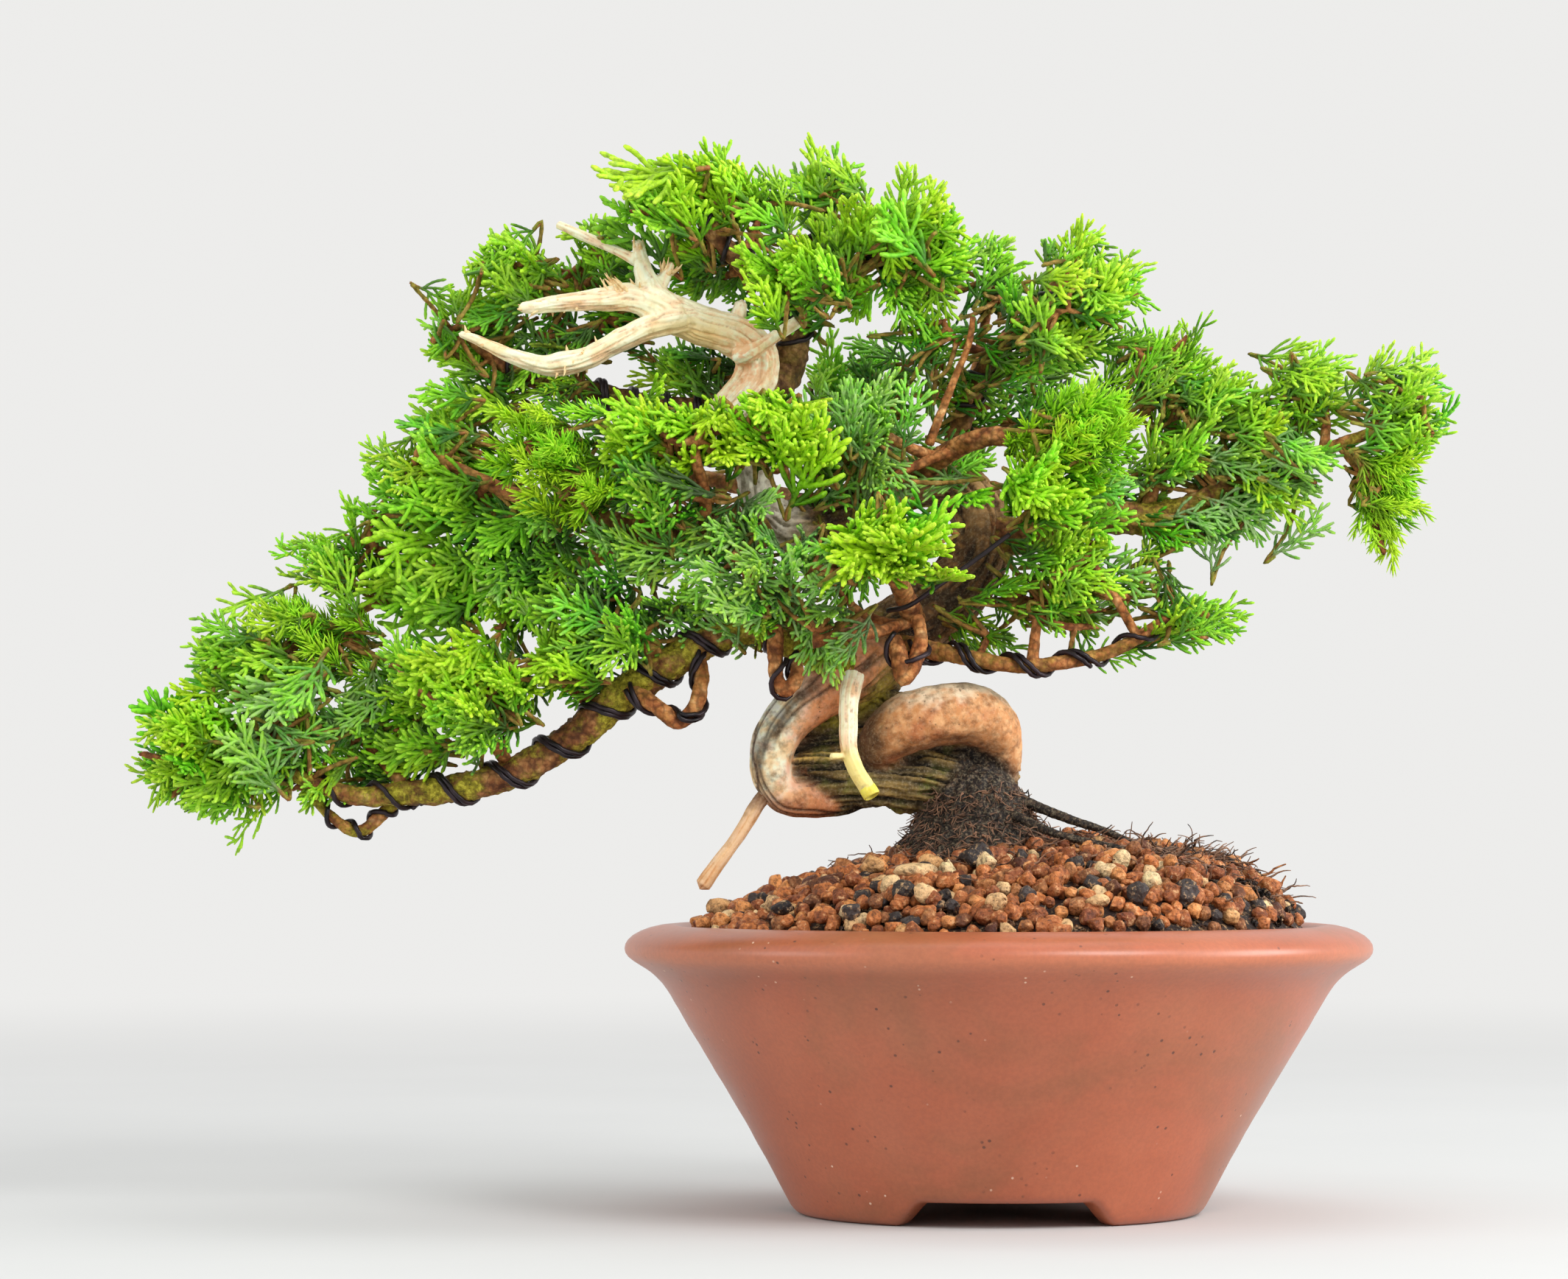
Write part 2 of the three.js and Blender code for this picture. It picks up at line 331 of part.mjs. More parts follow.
add("tie_down_wire", wirePath(tiePath, TIE_RADIUS, { sides: 5, steps: 44 }), "wire");

// ---- trunk: root neck, coil and arch ----
const NECK = [[0, 71], [13, 71.5], [20, 77], [21.5, 82], [18.5, 88], [14.6, 93.5], [12.8, 99], [10.2, 104], [6, 107.5], [0, 108.5]];
const neck = (grow) => {
  const g = new THREE.LatheGeometry(NECK.map(([r, h], i) => new THREE.Vector2(r ? r + grow : 0, h + (i < 2 ? -grow : i > 7 ? grow : 0))), 14);
  g.rotateX(Math.PI / 2);
  g.translate(NECK_X, 0, 0);
  return solidOf(g);
};
const trunkOf = (grow) => {
  const o = { sides: 8, grow };
  return join([
    neck(grow), limb(LIMBS.core, { ...o, steps: 8 }), limb(LIMBS.roll, { ...o, steps: 11 }), limb(LIMBS.loop, { ...o, steps: 11 }),
    limb(LIMBS.upper, { ...o, steps: 20 }), limb(LIMBS.root_a, { sides: 6, grow }), limb(LIMBS.root_b, { sides: 6, grow }),
  ]);
};
const trunk = trunkOf(0).simplify(0.05);
add("trunk", trunk, "bark");
let taken = trunkOf(GAP); // everything placed so far, grown by the clearance

// Adds a woody piece, clear of all the pieces before it.
const place = (name, parts, mat, options = {}) => {
  const made = (grow) => join(parts.flatMap((p) => [limb(LIMBS[p], { ...options, grow }), ...(SHOOTS[p] ?? []).map((s) => limb(s, { sides: 5, steps: 4, grow }))]));
  add(name, largest(made(0).subtract(taken)).simplify(0.04), mat);
  taken = taken.add(made(GAP));
};
place("deadwood_top", ["jin_main", "jin_up", "jin_left", "jin_low", "jin_right", "jin_twig"], "dead");
place("deadwood_stub_front", ["stub_front"], "dead");
place("deadwood_stub_low", ["stub_low"], "dead", { sides: 6 });
place("branch_low_left", ["branch_low_left", "branch_low_left_twig"], "bark");
place("branch_low_right", ["branch_low_right"], "bark");
place("branch_right", ["branch_right"], "bark");
place("branch_middle_right", ["branch_mid_right"], "twig", { sides: 6 });
place("branch_upper_left", ["branch_upper_left"], "bark");
place("branch_middle_left", ["branch_mid_left"], "twig");
place("branch_left", ["branch_left"], "twig", { sides: 6 });
place("leader", ["leader", "branch_apex_right", "branch_apex_back"], "bark");
place("branch_upper_right", ["branch_upper_right"], "twig", { sides: 6 });
place("branch_back_centre", ["branch_back_centre"], "twig", { sides: 6 });
place("branch_back_left", ["branch_back_left"], "twig", { sides: 6 });
place("branch_front", ["branch_front"], "twig", { sides: 6 });

// ---- soil ----
// Height of the heap over the pot: steeper to the left, fuller to the right, and up to the root neck.
const heap = (x, y) => {
  const rho = Math.min(1, Math.hypot(x, y) / 76);
  const side = rho > 1e-6 ? (1 + x / Math.hypot(x, y)) / 2 : 0.5;
  const left = 68.6 + 17.5 * (1 - Math.pow(rho, 2.6)) + 6 * Math.exp(-Math.pow(rho / 0.28, 2));
  const right = 68.6 + 21 * (1 - Math.pow(rho, 5)) + 3 * Math.exp(-Math.pow(rho / 0.3, 2));
  return left * (1 - side * side) + right * side * side;
};
const soilProfile = [[0, FLOOR_TOP + GAP], [47, FLOOR_TOP + GAP + 0.1], [48.6, 13.8], [53.1, 20.3], [62.6, 36.3], [71.9, 52.2], [74, 60], [75, 67.2], [75.4, 68.2]];
const rings = [70, 62, 52, 41, 30, 20, 0];
const soilGeometry = new THREE.LatheGeometry([...soilProfile, ...rings.map((r) => [r, 100])].map(([r, h]) => new THREE.Vector2(r, h)), 26);
soilGeometry.rotateX(Math.PI / 2);
const sp = soilGeometry.attributes.position;
for (let i = 0; i < sp.count; i++) if (sp.getZ(i) > 99) sp.setZ(i, heap(sp.getX(i), sp.getY(i)));
let soil = solidOf(soilGeometry).subtract(taken);
soil = soil.subtract(cylinder(19 + GAP, MESH_THICK + 2 * GAP, 0, 0, FLOOR_TOP + GAP + MESH_THICK / 2, 28));
soil = soil.subtract(wirePath(clipPath, 0.5 + GAP, { sides: 5, steps: 26 })).subtract(wirePath(tiePath, TIE_RADIUS + GAP, { sides: 5, steps: 44 }));
const rootThin = limb(LIMBS.root_thin, { sides: 6 });
soil = soil.subtract(limb(LIMBS.root_thin, { sides: 6, grow: GAP }));
add("surface_root_right", rootThin, "bark");
add("soil_mound", largest(soil).simplify(0.03), "soil");

// ---- training wires ----
const wires = {
  wire_low_left: coil(LIMBS.branch_low_left, { from: 0.2, to: 0.86, turns: 10, perTurn: 6 }),
  wire_low_right: coil(LIMBS.branch_low_right, { from: 0.16, to: 0.82, turns: 6.5, perTurn: 6, phase: 1 }),
  wire_upper_left: coil(LIMBS.branch_upper_left, { from: 0.2, to: 0.8, turns: 5, perTurn: 6, phase: 2 }),
  wire_leader: coil(LIMBS.leader, { from: 0.3, to: 0.86, turns: 4.5, phase: 0.5 }),
};
const FREE_END = [[-27, -19, 145], [-22, -24, 146], [-16, -26, 150], [-6, -26, 157], [2, -25, 163]];
wires.wire_free_end = wirePath(FREE_END, WIRE_RADIUS, { sides: 6, steps: 10 });
for (const [name, w] of Object.entries(wires)) {
  const cut = largest(w.subtract(taken));
  add(name, cut, "wire");
}
const sleeve = (points, extra) => limb(points.map((p) => [p[0], p[1], p[2], p[3] + extra]), { sides: 8 });
let keepOut = taken;
for (const [key, extra] of [["branch_low_left", 2.4], ["branch_low_right", 2.4], ["branch_upper_left", 2.4], ["leader", 2.4]]) keepOut = keepOut.add(sleeve(LIMBS[key], extra));
keepOut = keepOut.add(wirePath(FREE_END, WIRE_RADIUS + GAP, { sides: 6, steps: 10 }));

// ---- foliage pads ----
let seed = 1;
let green = null; // the pads placed so far, grown by the clearance
for (const [name, lumps] of Object.entries(PADS)) {
  const first = seed;
  let pad = join(lumps.map((l, i) => lump(l, first + i)));
  pad = pad.subtract(keepOut);
  if (green) pad = pad.subtract(green);
  pad = largest(largest(pad).simplify(0.3).subtract(green ? keepOut.add(green) : keepOut));
  add(name, pad, "leaf");
  const grown = join(lumps.map((l, i) => lump(l, first + i, GAP)));
  green = green ? green.add(grown) : grown;
  seed += lumps.length;
}

// ---- the outline's middle over the origin ----
const outline = new THREE.Box3().setFromObject(model, true);
model.position.set(-(outline.min.x + outline.max.x) / 2, -(outline.min.y + outline.max.y) / 2, -outline.min.z);
const group = new THREE.Group();
group.add(model);

export default group;
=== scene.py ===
# Juniper bonsai in a round unglazed pot: the looks, built around the imported CAD frame.
# Tables are in millimetres about the pot's axis (feet on z = 0, +Y away from the front); mesh_object() moves them into
# the frame.
import math

import bpy
import numpy as np
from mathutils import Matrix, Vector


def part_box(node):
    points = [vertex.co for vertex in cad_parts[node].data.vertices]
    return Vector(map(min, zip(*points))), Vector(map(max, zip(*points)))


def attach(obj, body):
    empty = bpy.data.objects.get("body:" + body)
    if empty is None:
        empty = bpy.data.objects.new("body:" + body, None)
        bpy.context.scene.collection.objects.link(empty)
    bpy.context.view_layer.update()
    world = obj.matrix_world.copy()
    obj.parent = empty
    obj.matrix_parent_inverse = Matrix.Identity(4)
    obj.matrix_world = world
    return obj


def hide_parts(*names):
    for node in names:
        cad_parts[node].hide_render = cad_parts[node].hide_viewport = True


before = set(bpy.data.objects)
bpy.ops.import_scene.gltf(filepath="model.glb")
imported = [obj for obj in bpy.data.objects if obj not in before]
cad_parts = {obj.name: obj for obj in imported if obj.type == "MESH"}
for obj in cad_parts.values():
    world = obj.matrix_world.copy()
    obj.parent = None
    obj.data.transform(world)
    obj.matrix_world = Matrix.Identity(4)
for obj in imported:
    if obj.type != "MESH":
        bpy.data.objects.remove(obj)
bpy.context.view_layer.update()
POT_LO, POT_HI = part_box("pot")
OFF = np.array([(POT_LO[0] + POT_HI[0]) / 2, (POT_LO[1] + POT_HI[1]) / 2, 0.0])
PI = math.pi

LIMBS = {
    "core": [[-0.6, 3, 103.4, 7.4], [-9.6, 2, 104.4, 8], [-20.4, 0, 104.4, 7.6], [-31.1, -1, 104, 7.2], [-41.9, -1, 104.8, 6.8], [-49, 0, 106.2, 5.6]],
    "roll": [[-0.3, 2, 99.9, 4.4], [1.1, 1, 106.2, 4.6], [0.5, -1, 112.6, 5.6], [-1.9, -4, 117.8, 7], [-7.5, -6, 120.6, 7.5], [-14.5, -8, 120.2, 7.5], [-21.3, -8, 118.4, 7.3], [-26.6, -7, 115, 6.4], [-29.4, -4, 110.5, 5], [-31.5, 0, 106.2, 3.5]],
    "loop": [[-30.2, 2, 98.7, 1.4], [-36.5, -1, 98.7, 2.6], [-44.6, -4, 99.6, 4.2], [-51.2, -5, 100.8, 4.6], [-54.7, -6, 106.5, 5.2], [-54.2, -6, 113.6, 5.6], [-49.9, -5, 120.4, 6], [-43.3, -4, 125.4, 6.6], [-36.5, -1, 130.3, 8.2], [-32, 2, 135.3, 9.2]],
    "upper": [[-41.8, 4, 125.1, 8.6], [-33.8, 4, 130.5, 10], [-26.5, 5, 138.2, 9.6], [-16.2, 7, 145.5, 8.8], [-7.9, 9, 153.5, 8.3], [-3.5, 11, 162.3, 7.8], [-4.1, 13, 170.5, 7.4], [-9.6, 13, 176.5, 7], [-17.4, 11, 178.2, 6.6], [-28.3, 8, 174.4, 6.4], [-40, 5, 169.2, 6.2], [-50.8, 2, 166.8, 6.4], [-56.9, 0, 170.6, 5.4], [-58.7, -1, 177.7, 4.6], [-60.1, -2, 183.4, 4.8]],
    "jin_main": [[-71.1, -6, 185.9, 2.8], [-67.8, -5, 191.4, 4.2], [-62.8, -4, 196.6, 5], [-58.7, -3, 202.4, 5.5], [-58.7, -3, 208.3, 5.4], [-63.3, -3, 212.4, 5.2], [-71.4, -3, 214.9, 4.9], [-78.5, -3, 217.6, 4.9], [-83.8, -4, 220.5, 4.8], [-87.6, -4, 222.5, 3.8]],
    "jin_up": [[-84, -4, 221.4, 4.2], [-85.5, -3, 226.9, 2.9], [-86.7, -2, 231.5, 2], [-87.3, -2, 235.4, 1.4]],
    "jin_left": [[-81.1, -4, 219.6, 4.2], [-89.7, -5, 221.7, 3.7], [-94.5, -6, 221.2, 3.1], [-100.6, -7, 220.6, 2.5], [-107.8, -7, 219.9, 2.1], [-112.7, -8, 219, 1.8], [-115.4, -8, 219, 1.3]],
    "jin_low": [[-75.8, -6, 216.6, 3.4], [-84.6, -7, 214.2, 3.2], [-90.8, -8, 211.2, 2.9], [-98.8, -8, 207, 2.7], [-105.2, -8, 205.2, 3.1], [-111.5, -8, 205.2, 2.4], [-120.1, -9, 208.1, 1.8], [-125.8, -9, 210.9, 1.3], [-130, -10, 212.4, 0.9]],
    "jin_right": [[-62.7, -7, 207.2, 2.8], [-60.1, -9, 207.7, 2.3], [-55.3, -10, 210.7, 1.7], [-48.5, -12, 215.1, 1.5]],
    "jin_twig": [[-86.2, -1, 230.3, 1.7], [-91.1, 1, 233, 1.4], [-99.3, 4, 237, 1.3], [-107.2, 8, 240.9, 1.1]],
    "stub_front": [[-34.9, -13, 129.5, 2.7], [-36.2, -17, 123.7, 2.4], [-36.4, -19, 117.5, 2.25], [-36.2, -20, 111.7, 2.2], [-34.5, -20.5, 106.9, 2.1], [-31.8, -21, 102.3, 2.1]],
    "stub_low": [[-55.5, -5, 101.9, 1.9], [-58.5, -6, 98.3, 1.9], [-62.7, -8, 91.2, 1.7], [-67.7, -9, 84.5, 1.8], [-71.4, -9, 79.3, 2]],
    "root_a": [[3.1, -4, 100.5, 1.9], [9.7, -6, 98, 1.4], [17.6, -8, 94.9, 1.2], [25.6, -9, 92.3, 1], [32.6, -10, 89.1, 0.9]],
    "root_b": [[1.1, -8, 97.6, 1.6], [5.5, -13, 95.1, 1.3], [12.6, -18, 91.9, 1.1], [20.5, -20, 89.8, 1], [29.1, -22, 88.1, 0.8]],
    "root_thin": [[54.4, -4, 83.7, 1.2], [59.7, -5, 83, 1.1], [63.5, -6, 80.3, 1], [67.5, -7, 76.6, 0.9], [70.4, -8, 72.4, 0.8]],
    "branch_low_left": [[-36.5, -4, 132.9, 5], [-48.2, -9, 137.2, 4.3], [-57.9, -12, 141, 3.9], [-67.6, -14, 139, 3.8], [-79.8, -14, 132.3, 4.3], [-90.1, -13, 125.6, 4.3], [-98.7, -12, 117.8, 4], [-109, -10, 110.7, 3.8], [-120.1, -9, 105.1, 3.6], [-132.6, -8, 102.4, 3.4], [-145.1, -8, 101.2, 2.8], [-155.4, -8, 100.8, 2.3], [-165.4, -9, 104, 1.9], [-177.8, -9, 109.3, 1.6], [-190.3, -9, 113.6, 1.2]],
    "branch_low_left_twig": [[-124.9, -3, 105.8, 1.5], [-134.8, -2, 102.3, 1.6], [-145.5, -3, 99.4, 1.6], [-153.9, -5, 92.3, 1.5], [-160.4, -6, 95.1, 1.3], [-166, -5, 100.5, 1.1]],
    "branch_low_right": [[-23.7, -4, 136.9, 3], [-15.3, -10, 135.6, 2.3], [-4.8, -13, 133.4, 1.9], [5.8, -14, 131.9, 1.8], [16.5, -13, 133, 1.7], [26.3, -11, 135.2, 1.6], [33.5, -10, 138.8, 1.5], [40.7, -9, 143.1, 1.3], [50.5, -8, 144.5, 1]],
    "branch_right": [[-4.8, 10, 165.5, 5.2], [5.1, 8, 164.3, 4.6], [15.7, 5, 166.3, 4.2], [26.4, 4, 168.7, 4.2], [37.1, 3, 168.3, 4], [47, 3, 170.8, 3.4], [55.1, 3, 175.3, 2.8], [66.7, 3, 179.8, 2.2], [80.1, 2, 185.1, 1.7], [94.2, 0, 190.3, 1.2], [102.9, -2, 193.7, 0.8]],
    "branch_mid_right": [[-19.4, 4, 179, 3], [-11.5, -2, 184.5, 2.6], [-1.9, -8, 187.6, 2.4], [7.6, -14, 185.7, 2.1], [16.1, -20, 181.7, 1.7], [22.8, -24, 183.2, 1.2]],
    "branch_upper_left": [[-61.6, 4, 195.1, 3.2], [-72.5, 10, 195.5, 3], [-87, 13, 197.1, 2.8], [-99.7, 14, 200.5, 2.6], [-110.6, 15, 202.4, 2.2], [-119.6, 14, 205.9, 1.9], [-126.7, 12, 211.2, 1.5], [-132, 10, 216.4, 1.1]],
    "branch_mid_left": [[-56.2, -8, 164.8, 3.6], [-65.9, -14, 160.6, 3.2], [-75.5, -17, 161.6, 2.8], [-87.9, -18, 165.1, 2.6], [-102, -17, 168.7, 2.3], [-116.3, -14, 173, 1.9], [-128.9, -10, 178.9, 1.5], [-139.9, -6, 184.5, 1.1]],
    "branch_left": [[-63.4, 4, 169.1, 3], [-74.3, 12, 167.4, 2.6], [-88.9, 15, 162.5, 2.4], [-106.9, 14, 157, 2.1], [-126.7, 11, 153.3, 1.8], [-144.5, 8, 151.3, 1.5], [-162.2, 4, 142.2, 1.2], [-174.5, 2, 134.9, 0.9]],
    "leader": [[-56.2, 6, 198, 4.6], [-51.2, 8, 205.4, 4.4], [-49.4, 6, 213.8, 4], [-51.2, 2, 221.9, 3.8], [-57.1, -2, 227.3, 3], [-64.7, -4, 232.8, 2.4], [-70.8, -5, 239.9, 1.9], [-73.1, -5, 247.9, 1.3]],
    "branch_apex_right": [[-49.4, 4, 220.8, 2.8], [-41.8, 6, 225.3, 2.4], [-33.7, 6, 230, 2.2], [-25.6, 5, 233.9, 1.8], [-18.5, 4, 240.9, 1.3]],
    "branch_apex_back": [[-50.8, 10, 218.2, 2.4], [-46.8, 16, 227.9, 2], [-44.4, 20, 237.4, 1.7], [-42, 22, 246.7, 1.2]],
    "branch_upper_right": [[-12.3, 18, 180.8, 3], [-8.9, 22, 190.2, 2.8], [-5.7, 20, 199.2, 2.6], [-1, 14, 207.7, 2.4], [5.9, 6, 216, 2], [13.6, 0, 222.6, 1.7], [20, 2, 231.7, 1.2]],
    "branch_back_centre": [[-19.9, 18, 178.7, 2.8], [-26, 32, 187.3, 2.4], [-29.5, 42, 197.3, 2], [-30.3, 46, 207, 1.5]],
    "branch_back_left": [[-43.6, 12, 171.4, 2.6], [-56.3, 26, 176.3, 2.3], [-71.1, 36, 180.3, 1.9], [-86, 42, 182.5, 1.5], [-97.2, 44, 182.7, 1.1]],
    "branch_front": [[-20.5, -4, 144, 2.8], [-23.5, -18, 150.1, 2.4], [-26.1, -30, 153.9, 2], [-28, -40, 156.4, 1.5]],
    "core_up": [[-49, 3, 109.8, 5.6], [-39.1, 4, 113.8, 6.8], [-27.5, 3, 113.8, 7.6], [-16.7, 3, 111.6, 7.2], [-5.1, 3, 109.5, 6]],
    "stub_spur": [[-36.4, -20, 110.6, 1.1], [-38.5, -21, 110.2, 0.9], [-40.5, -22, 110.1, 0.9]],
    "jin_foot": [[-59.8, -2, 180.9, 4.5], [-60.1, -3, 187.2, 4.2], [-60.8, -3, 193.7, 3.8]],
    "jin_nub": [[-63.7, -1, 214.2, 2.6], [-62.8, 0, 218.3, 2.1], [-62.3, 0, 220.8, 1.7]],
    "jin_torn": [[-83.3, -3, 222.6, 2.4], [-80.8, -2, 227, 1.7], [-79.1, -2, 230.2, 1]],
    "hook_left": [[-89.7, -15, 125.9, 2.2], [-85.7, -18, 124.4, 2], [-81.6, -20, 121.5, 1.9], [-77.2, -20, 118.4, 1.9], [-73.4, -19, 121.5, 1.9], [-71.6, -18, 127.6, 1.8], [-72.4, -16, 133.4, 1.8], [-75.6, -14, 137.6, 1.6]],
    "hook_mid": [[-54, -19, 141.3, 2], [-53.8, -20, 133.3, 1.9], [-53.5, -20, 128.6, 1.8], [-51.4, -20, 126.1, 1.9], [-48.7, -19, 129.3, 1.8], [-49.4, -16, 134, 1.6]],
    "hook_right": [[-25.4, -14, 137.9, 2.2], [-24, -18, 133.4, 2.2], [-23, -19, 129.3, 2.4], [-20.5, -18, 132.5, 1.9], [-19, -16, 138.2, 1.7], [-19.7, -14, 143.6, 1.5]],
    "twig_bare": [[-16.6, -4, 186.1, 1.2], [-13.7, -4, 193.6, 1], [-10.1, -3, 202.6, 0.9], [-6.9, -2, 210.5, 0.8], [-5.8, -2, 217, 0.7]],
    "core_top": [[-44.5, 4, 114.7, 3.6], [-36.4, 5, 117.9, 4.2], [-29.3, 4, 121, 4.8], [-24.8, 4, 124.2, 4.4]],
}
SHOOTS = {
    "branch_left": [[[-128.4, 10, 152.9, 1.4], [-139.1, 8, 156.4, 1.2], [-151.6, 6, 161.1, 1], [-160.2, 6, 164.5, 0.8]]],
    "leader": [[[-51.5, 1, 222.7, 1.8], [-52.2, -14, 225, 1.4], [-52.9, -24, 226.3, 1]]],
    "branch_upper_left": [[[-101.5, 14, 200.5, 1.5], [-105.8, 20, 212.8, 1.3], [-110.5, 20, 223.8, 1.1], [-117.4, 14, 230.9, 0.9]]],
    "branch_upper_right": [[[-5.7, 20, 199.2, 1.6], [-2.6, 33, 213.2, 1.3], [0.3, 40, 227.7, 1]], [[-8.9, 22, 190.2, 1.7], [4.1, 35, 192.7, 1.4], [16.2, 41, 196.5, 1]]],
    "branch_mid_right": [[[-14.1, 0, 182.8, 1.6], [-23.3, -8, 185.8, 1.3], [-31.3, -12, 190.8, 1]], [[-9.8, -3, 185.1, 1.5], [-18.4, -6, 181.3, 1.2], [-25.9, -8, 178.1, 0.9]]],
    "branch_mid_left": [[[-65.9, -14, 160.6, 1.7], [-64.1, -26, 158.2, 1.4], [-63, -33, 156.4, 1]], [[-101.1, -17, 168.4, 1.5], [-107.2, -26, 176, 1.3], [-112.2, -32, 183.3, 1]], [[-72, -16, 161.3, 1.8], [-70.4, -28, 170.6, 1.5], [-72.8, -34, 181.6, 1.3], [-71.4, -35, 187.2, 1]], [[-87, -18, 164.8, 1.5], [-86.1, -31, 168.7, 1]]],
    "branch_low_left": [[[-144.2, -8, 104.2, 1.6], [-151.2, -2, 111.5, 1.3], [-157.7, 2, 117, 1]], [[-119.2, -9, 109.7, 1.8], [-122.8, -17, 116.6, 1.5], [-124.4, -25, 127, 1]], [[-80.9, -14, 133.5, 2], [-87.4, -20, 139.1, 1.5], [-95, -24, 142.8, 1]]],
    "branch_low_right": [[[7.6, -14, 131.6, 1.6], [8.8, -11, 139.8, 1.3], [9.9, -9, 147.9, 1]], [[33.5, -10, 138.8, 1.2], [28.9, -12, 146.9, 1.1], [23.5, -14, 153.9, 0.9]]],
    "branch_right": [[[36.2, 3, 168.3, 1.9], [40.6, 6, 183.6, 1.5], [44.7, 8, 197.3, 1.2], [46.9, 8, 204.5, 0.9]], [[80.1, 2, 185.5, 1.4], [80.9, 6, 193.5, 1.1], [80, 8, 200, 0.8]], [[83.7, 2, 186.5, 1.4], [88.3, -4, 179.3, 1.1], [90.7, -8, 174.6, 0.8]]],
    "branch_front": [[[-22, -6, 142.7, 1.6], [-31.4, -18, 139.5, 1.4], [-40.3, -24, 138.6, 1.2], [-44.2, -26, 137.9, 0.9]]],
}
